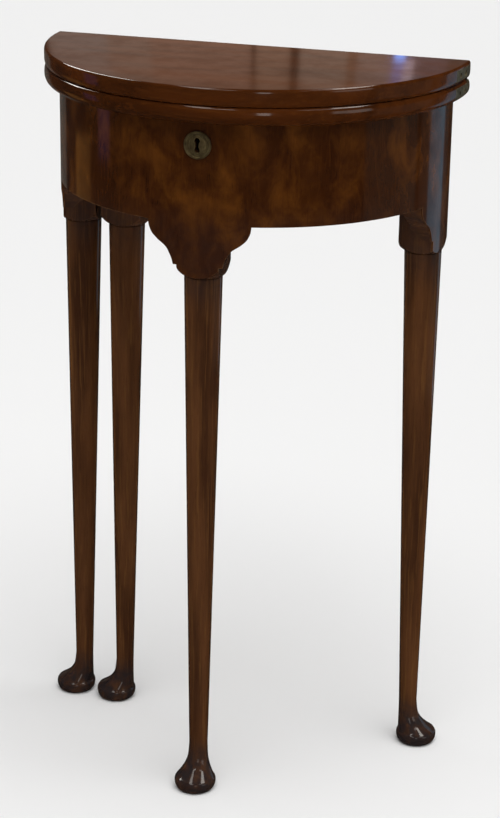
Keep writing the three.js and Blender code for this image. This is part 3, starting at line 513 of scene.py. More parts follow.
def wood(
    name, turn, light, dark, streak, grain,
    rough=0.0, coat=1.0, relief=0.15, edge_wear_and_highlight=0.35, edge=None, shades=(),
):
    """Polished or bare wood. The turn lays the grain, which runs along X in the group, along the piece.
    The shades darken it between two heights, given in metres, in uneven patches, towards a dark grey:
    painted shade, and on the pads also dirt with a painted bluish reflection."""
    material, tree = new_material(name)
    place = tree.add("TexCoord").outputs["Object"]
    laid = tree.add("Mapping", {"Vector": place, "Rotation": [radians(a) for a in turn]}).outputs[0]
    values = {"Vector": laid, "Light Colour": light, "Dark Colour": dark, "Streak Colour": streak, **grain}
    figure = tree.add("Group", values, node_tree=wood_grain)
    worn = tree.add("Group", {"Vector": place}, node_tree=worn_edges)
    marks = tree.add("Group", {"Vector": place}, node_tree=surface_marks)
    # Arrises are mixed towards the edge colour: wear, and on the veneer also a painted highlight line.
    amount = tree.maths("MULTIPLY", worn.outputs["Mask"], edge_wear_and_highlight)
    colour = tree.mixed(amount, figure.outputs["Colour"], edge or streak)
    if shades:
        height = tree.add("SeparateXYZ", {"Vector": place}).outputs["Z"]
        uneven_patches = tree.ranged(tree.noise(place, 75.0, 5.0, 0.65, 0.6), 0.34, 0.62, 0.6, 1.15)
    # Each shade band blends painted shade towards the dark grey, with dirt and a painted reflection tint on
    # the pads.
    for clear, full, darkness in shades:
        mask = tree.maths("MULTIPLY", tree.ranged(height, clear, full), darkness)
        mask = tree.maths("MULTIPLY", mask, uneven_patches, clamp=True)
        colour = tree.mixed(mask, colour, SHADE_DIRT_AND_SHEEN)
    scuffed = tree.maths("MULTIPLY_ADD", marks.outputs["Patches"], 0.1, figure.outputs["Roughness"])
    scuffed = tree.maths("MULTIPLY_ADD", marks.outputs["Scratches"], 0.15, scuffed)
    total = tree.maths("ADD", scuffed, rough, clamp=True)
    bump = tree.add("Bump", {"Height": figure.outputs["Height"], "Strength": relief, "Distance": 0.15 * MM})
    coated = tree.maths("MULTIPLY_ADD", marks.outputs["Patches"], -0.25 * coat, coat)
    shader = tree.add("BsdfPrincipled", {
        "Base Color": colour,
        "Roughness": total,
        "Normal": bump.outputs["Normal"],
        "Coat Weight": coated,
        "Coat Roughness": 0.09,
        "Specular IOR Level": 0.5 * (1 - coat),
    })
    tree.add("OutputMaterial", {"Surface": shader.outputs[0]})
    return material


def dressed(piece, material, slot, body, *nodes):
    """Shading, finish, the body that the piece rides on and the CAD nodes that it stands for."""
    select_only(piece)
    bpy.ops.object.shade_smooth_by_angle(angle=radians(30))
    piece.data.materials.clear()
    piece.data.materials.append(material)
    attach(piece, body)
    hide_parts(*nodes)
    return piece


UPRIGHT = (0, 90, 0)
LEG_LIGHT = (0.107, 0.0412, 0.0142, 1)
LEG_DARK = (0.038, 0.0136, 0.0053, 1)
LEG_STREAK = (0.14, 0.06, 0.0172, 1)
# The legs' shades: the pads darkened with dirt and a painted bluish reflection, and the tops of the turnings
# and the blocks with painted shade.
leg_wood = wood(
    "leg_mahogany", UPRIGHT, LEG_LIGHT, LEG_DARK, LEG_STREAK,
    {"Band Scale": 60.0, "Streak Scale": 420.0, "Figure": 0.006, "Contrast": 0.9},
    shades=((0.058, 0.024, 0.82), (0.495, 0.54, 0.45)),
)
dressed(front_leg, leg_wood, "mahogany", "frame", "front_leg")
for leg, label in zip(rear_legs, ("right", "left")):
    dressed(leg, leg_wood, "mahogany", "frame", "rear_leg_" + label)
dressed(gate_leg, leg_wood, "mahogany", "gate", "gate_leg")

# Frieze rails: softwood, bricked up to the curve and tenoned into the front leg and the rear posts.
# They are left plain inside and veneered outside.
RAIL_INNER = CORE_RADIUS - 20
CURVE_STEPS = 180


def half_band(name, inner, outer, low, high, steps=CURVE_STEPS):
    """A half ring, open at the back: its cross-section spun from right to left."""
    outline = [(inner, low), (outer, low), (outer, high), (inner, high)]
    points = [at(across, 0, height) for across, height in outline]
    return spun(traced(name, points), at(0, 0, 0), 180, steps)


pine = wood(
    "old_pine", (0, 0, 0), (0.4, 0.23, 0.1, 1), (0.22, 0.115, 0.048, 1), (0.16, 0.075, 0.03, 1),
    {"Band Scale": 34.0, "Streak Scale": 160.0, "Figure": 0.01, "Contrast": 0.8},
    rough=0.35, coat=0.0, relief=0.5, edge_wear_and_highlight=0.2,
)
for side, label in SIDES:
    rail = half_band("curved_rail_" + label, RAIL_INNER, CORE_RADIUS, FRIEZE_BOTTOM, FRAME_TOP)
    beside_leg = (side * (BLOCK_HALF + PLAY), side * 200)
    before_post = (-200, CARCASS_BACK - 2 * BLOCK_HALF - PLAY)
    kept_inside(rail, block("region", beside_leg, before_post, (FRIEZE_BOTTOM - 1, FRAME_TOP + 1)))
    dressed(rail, pine, "pine", "frame", "frieze_rail_" + label)

# Ogee brackets: shaped mahogany blocks glued under the rails, on both sides of the front leg and in front of
# each rear post. They are sawn square to the curved frieze, and the veneer covers their outer faces.
FRONT_BRACKET = (29.5, 40.4)
REAR_BRACKET = (24, 38)
POST_FRONT = CARCASS_BACK - 2 * BLOCK_HALF
NEAR_SAW = 210
FAR_SAW = 90
BRACKET_SHARES = [
    (1, 0), (0.99, 0.1), (0.95, 0.2), (0.87, 0.31), (0.78, 0.38), (0.63, 0.47),
    (0.46, 0.55), (0.34, 0.63), (0.26, 0.73), (0.18, 0.85), (0.12, 1),
]


def ogee(size, top, spare):
    """The bracket's outline as points out from the leg and down from the frieze, closed above."""
    width, drop = size
    curve = [(width * out, FRIEZE_BOTTOM - drop * down) for out, down in flowing(BRACKET_SHARES, 3)]
    return [(-spare, top), (width, top), *curve, (-spare, FRIEZE_BOTTOM - drop)]


def sawn(piece, move, shrink):
    """Extruded towards the middle of the half-round and shrunk on the way, as a cut square to the frieze."""
    with whole_mesh(piece):
        bpy.ops.mesh.extrude_region_move(TRANSFORM_OT_translate={"value": move})
        bpy.ops.transform.resize(value=shrink, center_override=at(0, 0, 0))
    return tidied(piece)


def fanned(across):
    """A place on the frieze's face, moved out along its radius to where the sawing starts."""
    return NEAR_SAW * across / sqrt(FRIEZE_RADIUS ** 2 - across ** 2)


def front_bracket_region(side, top):
    outline = ogee(FRONT_BRACKET, top, BLOCK_HALF)
    points = [at(side * fanned(BLOCK_HALF + out), -NEAR_SAW, height) for out, height in outline]
    move = Vector((0, (NEAR_SAW - FAR_SAW) * MM, 0))
    return sawn(traced("region", points), move, (FAR_SAW / NEAR_SAW, 1, 1))


def rear_bracket_region(side, top):
    outline = ogee(REAR_BRACKET, top, OVERRUN)
    points = [at(side * NEAR_SAW, fanned(POST_FRONT - out), height) for out, height in outline]
    move = Vector((side * (FAR_SAW - NEAR_SAW) * MM, 0, 0))
    return sawn(traced("region", points), move, (1, FAR_SAW / NEAR_SAW, 1))


# The brackets and knuckle rails are darkened below 0.6 m with painted shade under the frieze.
flat_wood = wood(
    "bracket_mahogany", (0, 0, 0), LEG_LIGHT, LEG_DARK, LEG_STREAK,
    {"Band Scale": 50.0, "Streak Scale": 380.0, "Figure": 0.006, "Contrast": 0.9},
    shades=((0.6, 0.58, 0.5),),
)
for side, label in SIDES:
    beside_leg = ((side * (BLOCK_HALF + PLAY), side * 200), (-210, -100))
    before_post = ((-210, 210), (-200, POST_FRONT - PLAY))
    for place, region, drop, free in (
        ("front", front_bracket_region, FRONT_BRACKET[1], beside_leg),
        ("rear", rear_bracket_region, REAR_BRACKET[1], before_post),
    ):
        name = "ogee_" + place + "_" + label
        low = FRIEZE_BOTTOM - drop - OVERRUN
        bracket = half_band(name, RAIL_INNER, CORE_RADIUS, low, FRIEZE_BOTTOM - PLAY)
        kept_inside(bracket, region(side, FRIEZE_BOTTOM))
        kept_inside(bracket, block("beside", *free, (BLOCK_BOTTOM, FRAME_TOP)))
        dressed(tidied(bracket), flat_wood, "mahogany", "frame", "bracket_" + place + "_" + label)

# Frieze veneer: figured mahogany sawn about two millimetres thick, one skin round the rails, the brackets
# and the outer faces of the posts, with the keyhole cut through it.
veneer = half_band("veneer_skin", CORE_RADIUS + PLAY, FRIEZE_RADIUS, BLOCK_BOTTOM, FRAME_TOP, 240)
WIDE = FRIEZE_RADIUS + OVERRUN
kept = block("kept", (-WIDE, WIDE), (-WIDE, CARCASS_BACK), (FRIEZE_BOTTOM, FRAME_TOP + OVERRUN))
overlap = FRIEZE_BOTTOM + OVERRUN
beside_post = (BLOCK_BOTTOM - 1, overlap)
for side in (1, -1):
    joined(kept, front_bracket_region(side, overlap))
    joined(kept, rear_bracket_region(side, overlap))
    joined(kept, block("strip", (side * 80, side * WIDE), (POST_FRONT, CARCASS_BACK), beside_post))
joined(kept, block("strip", around(0, BLOCK_HALF), (-WIDE, -90), beside_post))
kept_inside(veneer, kept)
cut(veneer, shoulder_waste(0, FRONT_LEG_Y))
for side in (1, -1):
    cut(veneer, shoulder_waste(side * REAR_LEG_X, REAR_LEG_Y))
cut(veneer, keyhole(-WIDE, -RAIL_INNER))
# The veneer is darkened with painted shade from 0.62 m down to its foot.
veneer_wood = wood(
    "figured_veneer", UPRIGHT,
    (0.13, 0.0405, 0.005, 1), (0.032, 0.008, 0.0014, 1), (0.066, 0.019, 0.003, 1),
    {"Band Scale": 30.0, "Streak Scale": 330.0, "Figure": 0.03, "Flame": 0.9, "Contrast": 1.0},
    # Its arrises are lightened to a pale line that is part wear and part painted highlight.
    edge_wear_and_highlight=0.7, edge=(0.3, 0.17, 0.08, 1), shades=((0.62, 0.57, 0.25),),
)
dressed(tidied(veneer), veneer_wood, "veneer", "frame", "frieze_veneer")

# Back of the well and the gate: a fixed softwood rail between the posts, and behind it a mahogany rail on a
# wooden knuckle joint. The fly rail swings out with the gate leg on one iron pin.
GATE_PIN_X = 45
FLY_HALF = 9
GATE_PIN_Y = GATE_BACK - FLY_HALF
PIN_RADIUS = 2.5
KNUCKLES = 5
KNUCKLE_HEIGHT = FRIEZE_HEIGHT / KNUCKLES
POST_INNER_X = REAR_LEG_X - BLOCK_HALF
GATE_INNER_X = GATE_LEG_X + BLOCK_HALF


def knuckle_heights(first, play):
    heights = []
    for i in range(first, KNUCKLES, 2):
        low = FRIEZE_BOTTOM + i * KNUCKLE_HEIGHT
        heights.append((low - play, low + KNUCKLE_HEIGHT + play))
    return heights


def on_pin(height):
    return at(GATE_PIN_X, GATE_PIN_Y, height)


def knuckled_rail(name, side, length, own, other):
    """A rail from the pin outwards, with its own fingers and hollows for the other rail's."""
    ends = (GATE_PIN_X, GATE_PIN_X + side * length)
    rail = block(name, ends, around(GATE_PIN_Y, FLY_HALF), (FRIEZE_BOTTOM, FRAME_TOP))
    reach = FLY_HALF + OVERRUN
    corner = [(0, 0), (side * reach, reach), (0, reach)]
    points = [at(GATE_PIN_X + x, GATE_PIN_Y + y, FRIEZE_BOTTOM - OVERRUN) for x, y in corner]
    rise = Vector((0, 0, (FRIEZE_HEIGHT + 2 * OVERRUN) * MM))
    cut(rail, extruded(traced("corner", points), rise))
    for bottom, top in knuckle_heights(own, -PLAY / 2):
        joined(rail, rod("finger", FLY_HALF, on_pin(bottom), on_pin(top), 64))
    for bottom, top in knuckle_heights(other, PLAY / 2):
        start = bottom - (OVERRUN if bottom < FRIEZE_BOTTOM else 0)
        stop = top + (OVERRUN if top > FRAME_TOP else 0)
        cut(rail, rod("hollow", FLY_HALF + PLAY, on_pin(start), on_pin(stop), 64))
    start, stop = FRIEZE_BOTTOM - OVERRUN, FRAME_TOP + OVERRUN
    cut(rail, rod("bore", PIN_RADIUS + PLAY, on_pin(start), on_pin(stop), 32))
    return tidied(rail)


fixed_rail = knuckled_rail("knuckle_rail_fixed", 1, POST_INNER_X - PLAY - GATE_PIN_X, 0, 1)
dressed(fixed_rail, flat_wood, "mahogany", "frame", "fixed_hinge_rail")
fly_rail = knuckled_rail("knuckle_rail_fly", -1, GATE_PIN_X - GATE_INNER_X - PLAY, 1, 0)
dressed(fly_rail, flat_wood, "mahogany", "gate", "fly_rail")

# Leaves: two half-round mahogany boards with a moulded edge. The lower one is the lid of the well, and the
# upper one folds back on brass hinges at the ends.
LEAF_RADIUS = 210
LEAF_THICKNESS = 16.8
LEAF_JOINT = 720 - LEAF_THICKNESS - PLAY / 2
LINK_REACH = 3
AXIS_INSET = LINK_REACH - PLAY / 2
LEAF_STEPS = 200
JOINT_MOULDING = (3.2, 6.5)
UPPER_MOULDING = (2, 3.4)
LOWER_MOULDING = (6.5, 8.5)
PAST_END = WIDE + 20


def arc(centre, reach, start, end, steps):
    """Points on an ellipse, from one angle to another in degrees."""
    points = []
    for i in range(steps + 1):
        angle = radians(start + (end - start) * i / steps)
        points.append((centre[0] + reach[0] * cos(angle), centre[1] + reach[1] * sin(angle)))
    return points


def moulded_board(name, moulding, face, way):
    """A leaf: its section spun half round, with the back arris at the joint rounded about the rivets."""
    inset, rise = JOINT_MOULDING
    joint = arc((LEAF_RADIUS - inset, rise), JOINT_MOULDING, -90, 0, 12)
    inset, rise = moulding
    outer = arc((LEAF_RADIUS - inset, LEAF_THICKNESS - rise), moulding, 0, 90, 14)
    section = [(0, 0), *joint, *outer, (0, LEAF_THICKNESS)]
    points = [at(across, 0, face + way * height) for across, height in section]
    board = spun(traced(name, points), at(0, 0, 0), 180, LEAF_STEPS)
    radius = AXIS_INSET
    corner = [(-radius, face - way), (OVERRUN, face - way), (OVERRUN, face + way * radius)]
    for y, z in arc((-radius, radius), (radius, radius), 0, -90, 10):
        corner.append((y, face + way * z))
    points = [at(-PAST_END, y, z) for y, z in corner]
    return cut(board, extruded(traced("corner", points), Vector((2 * PAST_END * MM, 0, 0))))


upper_leaf = moulded_board("leaf_upper", UPPER_MOULDING, LEAF_JOINT + PLAY / 2, 1)
lower_leaf = moulded_board("leaf_lower", LOWER_MOULDING, LEAF_JOINT - PLAY / 2, -1)

# Lid hinges: brass butts on a pin through three knuckles. One leaf is let into a post's back and the other
# into the lid, each with two countersunk brass screws.
LID_UNDER = LEAF_JOINT - PLAY / 2 - LEAF_THICKNESS
BARREL_RADIUS = 2.4
HINGE_PIN_RADIUS = 1.1
SCREW_HEAD = 2.3
SCREW_SHANK = 1.2
SCREW_SINK = 1.5
SLOT_HALF = 0.35
SLOT_REACH = 3
SLOT_DEPTH = 0.6


def brass_material():
    """Old brass: dull olive brown where it is left alone, yellower where hands have rubbed it."""
    material, tree = new_material("aged_brass")
    place = tree.add("TexCoord").outputs["Object"]
    cloud = tree.ranged(tree.noise(place, 180.0, 5.0, 0.6), 0.32, 0.68)
    speck = tree.ranged(tree.noise(place, 1400.0, 3.0, 0.6), 0.55, 0.7)
    handled = {"Vector": place, "Width": 0.6 * MM, "Patch Scale": 160.0}
    worn = tree.add("Group", handled, node_tree=worn_edges)
    marks = tree.add("Group", {"Vector": place, "Scale": 220.0}, node_tree=surface_marks)
    colour = tree.mixed(cloud, (0.1, 0.068, 0.028, 1), (0.19, 0.14, 0.06, 1))
    colour = tree.mixed(tree.maths("MULTIPLY", speck, 0.6), colour, (0.05, 0.035, 0.018, 1))
    open_share = tree.add("AmbientOcclusion", {"Distance": 0.003}, samples=8).outputs["AO"]
    colour = tree.mixed(tree.ranged(open_share, 0.92, 0.6), colour, (0.022, 0.015, 0.007, 1))
    colour = tree.mixed(worn.outputs["Mask"], colour, (0.62, 0.47, 0.2, 1))
    rough = tree.maths("MULTIPLY_ADD", cloud, -0.12, 0.48)
    rough = tree.maths("MULTIPLY_ADD", marks.outputs["Scratches"], 0.12, rough)
    bump = tree.add("Bump", {"Height": speck, "Strength": 0.25, "Distance": 0.05 * MM})
    shader = tree.add("BsdfPrincipled", {
        "Base Color": colour, "Roughness": rough, "Metallic": 0.7, "Normal": bump.outputs["Normal"],
    })
    tree.add("OutputMaterial", {"Surface": shader.outputs[0]})
    return material


brass = brass_material()


def screw_place(node, way):
    """Where the CAD has a screw: the middle of its head's face and its length."""
    low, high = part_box(node)
    length = abs((high - low).dot(way))
    return (low + high) / 2 - way * length / 2, length / MM


def screw_form(head, way, length, play=0.0):
    """A countersunk screw, spun about its axis, or its hole."""
    aside = way.orthogonal().normalized()
    outline = [(0, -OVERRUN), (SCREW_HEAD + play, -OVERRUN)] if play else [(0, 0)]
    outline += [(SCREW_HEAD + play, 0), (SCREW_SHANK + play, SCREW_SINK + play)]
    outline += [(SCREW_SHANK + play, length + play), (0, length + play)]
    points = [head + (aside * across + way * deep) * MM for across, deep in outline]
    return spun(traced("screw", points, filled=False), head, 360, 32, way)


def screw_hole(node, way):
    head, length = screw_place(node, way)
    return screw_form(head, way, length, PLAY)


def fitted_screw(node, body, way, turn):
    """A screw in its place, with the slot turned as it was left."""
    head, length = screw_place(node, way)
    piece = screw_form(head, way, length)
    piece.name = node
    along = Matrix.Rotation(radians(turn), 3, way) @ way.orthogonal().normalized()
    beside = way.cross(along)
    corners = ((-1, -1), (1, -1), (1, 1), (-1, 1))
    points = [head + (along * a * SLOT_REACH + beside * b * SLOT_HALF - way) * MM for a, b in corners]
    cut(piece, extruded(traced("slot", points), way * (1 + SLOT_DEPTH) * MM))
    return dressed(tidied(piece), brass, "brass", body, node)


def lid_knuckle(x, part):
    step = 2 * LID_HINGE_HALF / 3
    start = x - LID_HINGE_HALF + part * step
    return start + (PLAY / 2 if part else 0), start + step - (0 if part == 2 else PLAY / 2)


def on_lid_axis(x):
    return at(x, LID_AXIS_Y, LID_AXIS_Z)


BACKWARD = Vector((0, 1, 0))
UPWARD = Vector((0, 0, 1))
FRAME_LEAF_FRONT = CARCASS_BACK - SHEET
FRAME_LEAF_TOP = LID_AXIS_Z - BARREL_RADIUS - PLAY
LID_LEAF_EDGE = LID_AXIS_Y - PLAY
LID_LEAF_TOP = LID_UNDER + SHEET
for side, label in SIDES:
    x = side * REAR_LEG_X
    near, far = around(x, LID_HINGE_HALF)
    high = (LID_AXIS_Z - LID_HINGE_DEPTH, FRAME_LEAF_TOP)
    fixed = block("lid_hinge_frame_leaf_" + label, (near, far), (FRAME_LEAF_FRONT, CARCASS_BACK), high)
    deep = (LID_AXIS_Y - LID_HINGE_DEPTH, LID_LEAF_EDGE)
    moving = block("lid_hinge_lid_leaf_" + label, (near, far), deep, (LID_UNDER, LID_LEAF_TOP))
    for part in range(3):
        start, stop = lid_knuckle(x, part)
        barrel = rod("barrel", BARREL_RADIUS, on_lid_axis(start), on_lid_axis(stop), 40)
        if part == 1:
            joined(moving, barrel)
            deep = (CARCASS_BACK + PLAY, LID_LEAF_EDGE)
            joined(moving, block("neck", (start, stop), deep, (LID_AXIS_Z, LID_LEAF_TOP)))
        else:
            joined(fixed, barrel)
            deep = (FRAME_LEAF_FRONT, LID_AXIS_Y)
            joined(fixed, block("neck", (start, stop), deep, (FRAME_LEAF_TOP - SHEET, LID_AXIS_Z)))
    for piece, body, way in ((fixed, "frame", -BACKWARD), (moving, "lid", UPWARD)):
        start, stop = on_lid_axis(near - OVERRUN), on_lid_axis(far + OVERRUN)
        cut(piece, rod("bore", HINGE_PIN_RADIUS + PLAY, start, stop, 32))
        for i in (1, 2):
            node = "lid_hinge_" + body + "_screw_" + str(i) + "_" + label
            cut(piece, screw_hole(node, way))
            fitted_screw(node, body, way, 20 + 65 * i * side)
        dressed(tidied(piece), brass, "brass", body, "lid_hinge_" + body + "_leaf_" + label)
    pin = rod("lid_hinge_pin_" + label, HINGE_PIN_RADIUS, on_lid_axis(near), on_lid_axis(far), 32)
    dressed(pin, brass, "brass", "frame", "lid_hinge_pin_" + label)
    deep = (LID_AXIS_Y - LID_HINGE_DEPTH - PLAY, OVERRUN)
    high = (LID_UNDER - OVERRUN, LID_LEAF_TOP + PLAY)
    cut(lower_leaf, block("hinge_seat", around(x, LID_HINGE_HALF + PLAY), deep, high))
low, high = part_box("staple_plate")
play = Vector((PLAY, PLAY, PLAY)) * MM
cut(lower_leaf, slab("plate_seat", low - play, high + play))
for side, label in SIDES:
    fitted_screw("staple_plate_screw_" + label, "lid", UPWARD, 35 * side)
    fitted_screw("lock_screw_" + label, "frame", -BACKWARD, 50 * side)

# Leaf hinges: brass plates let into the moulded ends and filed to the moulding, joined by a link on two
# rivets so that the upper leaf folds over flat.
PLATE_LENGTH = 42
PLATE_HALF = 5.5
PLATE_INNER = 202.5
FORK_INNER = 205.2
FORK_OUTER = 207.6
FORK_DEPTH = 7.5
LINK_RADIUS = 2.5
RIVET_RADIUS = 1.2
RIVET_END = LEAF_RADIUS - 1


def copied(piece, name):
    twin = piece.copy()
    twin.data = piece.data.copy()
    twin.name = name
    bpy.context.scene.collection.objects.link(twin)
    return twin


def plate_region(side, middle, way, play):
    """Where a plate lies in the leaf's end: a bar along the edge, and a full corner round the rivet."""
    half = PLATE_HALF + play
    across = (side * (PLATE_INNER - play), side * (LEAF_RADIUS + OVERRUN))
    bar = block("bar", across, (-PLATE_LENGTH - play, OVERRUN), around(middle, half))
    front = -AXIS_INSET - 2 * LINK_REACH - play
    return joined(bar, block("corner", across, (front, OVERRUN), (LEAF_JOINT, middle + way * half)))


def on_rivet(side, across, height):
    return at(side * across, -AXIS_INSET, height)


for leaf, level, middle, way in (
    (lower_leaf, "lower", LEAF_JOINT - PLAY / 2 - LEAF_THICKNESS / 2, -1),
    (upper_leaf, "upper", LEAF_JOINT + PLAY / 2 + LEAF_THICKNESS / 2, 1),
):
    body = "lid" if level == "lower" else "upper_leaf"
    plates = []
    for side, label in SIDES:
        plate = copied(leaf, "hinge_plate_" + level + "_" + label)
        kept_inside(plate, plate_region(side, middle, way, 0))
        plates.append((plate, side, label))
    for plate, side, label in plates:
        cut(leaf, plate_region(side, middle, way, PLAY / 2))
        across = (side * FORK_INNER, side * FORK_OUTER)
        high = (LEAF_JOINT, LEAF_JOINT + way * FORK_DEPTH)
        cut(plate, block("fork", across, (-FORK_DEPTH, OVERRUN), high))
        height = LEAF_JOINT + way * LINK_REACH
        start = on_rivet(side, PLATE_INNER - OVERRUN, height)
        stop = on_rivet(side, LEAF_RADIUS + OVERRUN, height)
        cut(plate, rod("bore", RIVET_RADIUS + PLAY, start, stop, 32))
        inward = Vector((-side, 0, 0))
        for i in (1, 2):
            node = "leaf_hinge_" + level + "_screw_" + str(i) + "_" + label
            cut(plate, screw_hole(node, inward))
            fitted_screw(node, body, inward, 40 * i + 25 * side)
        dressed(tidied(plate), brass, "brass", body, "leaf_hinge_" + level + "_plate_" + label)
heights = around(LEAF_JOINT, LINK_REACH)
inner, outer = FORK_INNER + PLAY, FORK_OUTER - PLAY
for side, label in SIDES:
    across = (side * inner, side * outer)
    link = block("leaf_link_" + label, across, around(-AXIS_INSET, LINK_RADIUS), heights)
    for height in heights:
        start, stop = on_rivet(side, inner, height), on_rivet(side, outer, height)
        joined(link, rod("eye", LINK_RADIUS, start, stop, 40))
        start, stop = on_rivet(side, PLATE_INNER + PLAY, height), on_rivet(side, RIVET_END, height)
        joined(link, rod("rivet", RIVET_RADIUS, start, stop, 32))
    dressed(tidied(link), brass, "brass", "hinge_links", "leaf_hinge_link_" + label)
board_wood = wood(
    "leaf_mahogany", (0, 0, 0),
    (0.075, 0.019, 0.0028, 1), (0.032, 0.0084, 0.0016, 1), (0.086, 0.025, 0.0045, 1),
    {"Band Scale": 30.0, "Streak Scale": 330.0, "Figure": 0.012, "Contrast": 1.0},
)
dressed(tidied(upper_leaf), board_wood, "mahogany", "upper_leaf", "upper_leaf")
dressed(tidied(lower_leaf), board_wood, "mahogany", "lid", "lower_leaf")

# Escutcheon: a round stamped brass plate with a raised rim and a domed oval round the keyhole, hollowed
# behind to the frieze.
ESCUTCHEON_RADIUS = 13
RIM_WIDTH = 1.8
RIM_TOP = 2.0
PLATE_FACE = 1.1
BOSS_WIDTH = 7.6
BOSS_HEIGHT = 9.4
BOSS_RISE = 1.2
GROOVE_INSET = 2.6
GROOVE = (1.4, -0.25)
ESCUTCHEON_BACK = -FRIEZE_RADIUS - PLAY


def stamped(name, outline):
    """A round piece lying against the front. The outline is its section: radius and height."""
    points = [at(across, ESCUTCHEON_BACK - height, KEYHOLE_HEIGHT) for across, height in outline]
    return spun(traced(name, points, filled=False), at(0, 0, KEYHOLE_HEIGHT), 360, 96, (0, 1, 0))


rim_middle = ESCUTCHEON_RADIUS - RIM_WIDTH / 2
rim_round = arc((rim_middle, PLATE_FACE), (RIM_WIDTH / 2, RIM_TOP - PLATE_FACE), 0, 180, 12)
groove = arc((rim_middle - GROOVE_INSET, PLATE_FACE), GROOVE, 0, 180, 8)
section = [(0, -1), (ESCUTCHEON_RADIUS, -1), *rim_round, *groove, (0, PLATE_FACE)]
escutcheon = stamped("escutcheon_plate", section)
dome = arc((0, PLATE_FACE), (BOSS_WIDTH, BOSS_RISE), 0, 80, 10)
boss = stamped("boss", [(0, 0), (BOSS_WIDTH, 0), *dome, (0, PLATE_FACE + BOSS_RISE)])
with whole_mesh(boss):
    stretch = (1, 1, BOSS_HEIGHT / BOSS_WIDTH)
    bpy.ops.transform.resize(value=stretch, center_override=at(0, 0, KEYHOLE_HEIGHT))
joined(escutcheon, boss)
low, high = around(KEYHOLE_HEIGHT, 30)
cut(escutcheon, rod("frieze", -ESCUTCHEON_BACK, at(0, 0, low), at(0, 0, high), 720))
cut(escutcheon, keyhole(-FRIEZE_RADIUS - OVERRUN, -FRIEZE_RADIUS + OVERRUN))
dressed(tidied(escutcheon), brass, "brass", "frame", "escutcheon")

# Gate pin: a plain dark iron rod through the fingers of the knuckle joint. It has the CAD's place and
# length, and its iron is the lock bolt's as well.
iron, tree = new_material("dark_iron")
place = tree.add("TexCoord").outputs["Object"]
rust = tree.ranged(tree.noise(place, 260.0, 5.0, 0.65), 0.4, 0.7)
pitted = tree.noise(place, 1500.0, 3.0, 0.6)
bump = tree.add("Bump", {"Height": pitted, "Strength": 0.3, "Distance": 0.05 * MM})
shader = tree.add("BsdfPrincipled", {
    "Base Color": tree.mixed(rust, (0.06, 0.055, 0.05, 1), (0.11, 0.06, 0.035, 1)),
    "Roughness": tree.maths("MULTIPLY_ADD", rust, 0.25, 0.42),
    "Metallic": tree.maths("MULTIPLY_ADD", rust, -0.5, 0.85),
    "Normal": bump.outputs["Normal"],
})
tree.add("OutputMaterial", {"Surface": shader.outputs[0]})
low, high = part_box("gate_pin")
middle = (low + high) / 2
foot = Vector((middle.x, middle.y, low.z))
head = Vector((middle.x, middle.y, high.z))
dressed(rod("gate_pin_turned", PIN_RADIUS, foot, head), iron, "iron", "frame", "gate_pin")

# What the CAD gives in its final shape: the softwood back rail, well floor and glue blocks, the lock's case
# and bolt, and the staple plate. They only get their finish here.
for name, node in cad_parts.items():
    if node.hide_render:
        continue
    material = brass
    if name in ("back_rail", "well_floor") or name.startswith("glue_block"):
        material = pine
    if name == "lock_bolt":
        material = iron
    node.data.materials.clear()
    node.data.materials.append(material)

# The studio: a plain pale floor, soft light from above, windows and lamps that only show in the polish, and
# the camera where the photograph was taken from.
bpy.ops.object.select_all(action="DESELECT")
bpy.ops.mesh.primitive_plane_add(size=60, location=(0, 0, 0))
floor = bpy.context.object
floor.name = "studio_floor"
floor.visible_glossy = False
floor_finish, tree = new_material("pale_floor")
shader = tree.add("BsdfPrincipled", {"Base Color": (0.84, 0.84, 0.84, 1), "Roughness": 0.9})
tree.add("OutputMaterial", {"Surface": shader.outputs[0]})
floor.data.materials.append(floor_finish)

world = bpy.data.worlds.new("studio")
bpy.context.scene.world = world
world.use_nodes = True
world.node_tree.nodes.clear()
sky = Tree(world.node_tree)
ray = sky.add("LightPath").outputs
seen = sky.add("Background", {"Color": (1, 1, 1, 1), "Strength": 0.95})
dim = sky.add("Background", {"Color": (1, 0.9, 0.8, 1), "Strength": 0.025})
chosen = sky.add("MixShader", {0: ray["Is Camera Ray"], 1: dim.outputs[0], 2: seen.outputs[0]})
sky.add("OutputWorld", {"Surface": chosen.outputs[0]})
CEILING = 2.4
LAMPLIGHT = (1, 0.96, 0.9)
DAYLIGHT = (1, 0.97, 0.92)


def sun(name, direction, strength, angle):
    data = bpy.data.lights.new(name, "SUN")
    data.energy = strength
    data.angle = radians(angle)
    lamp = bpy.data.objects.new(name, data)
    bpy.context.scene.collection.objects.link(lamp)
    lamp.rotation_euler = Vector(direction).to_track_quat("-Z", "Y").to_euler()
    lamp.visible_glossy = False
    return lamp


def softbox(name, place, target, width, height, glow, colour=(1, 1, 1)):
    """A lit panel that only shows in the polish. Its glow is its brightness, whatever its size."""
    data = bpy.data.lights.new(name, "AREA")
    data.shape = "RECTANGLE"
    data.size = width
    data.size_y = height
    data.energy = glow * pi * width * height
    data.color = colour
    lamp = bpy.data.objects.new(name, data)
    bpy.context.scene.collection.objects.link(lamp)
    lamp.location = place
    lamp.rotation_euler = (Vector(target) - Vector(place)).to_track_quat("-Z", "Y").to_euler()
    lamp.visible_camera = False
    lamp.visible_diffuse = False
    return lamp


def standing(name, turn, distance, width, low, high, glow, colour):
    """A tall softbox facing the table: turned from the front towards the right, in degrees."""
    across = radians(turn)
    middle = (low + high) / 2
    place = (distance * sin(across), -distance * cos(across), middle)
    return softbox(name, place, (0, 0, middle), width, high - low, glow, colour)


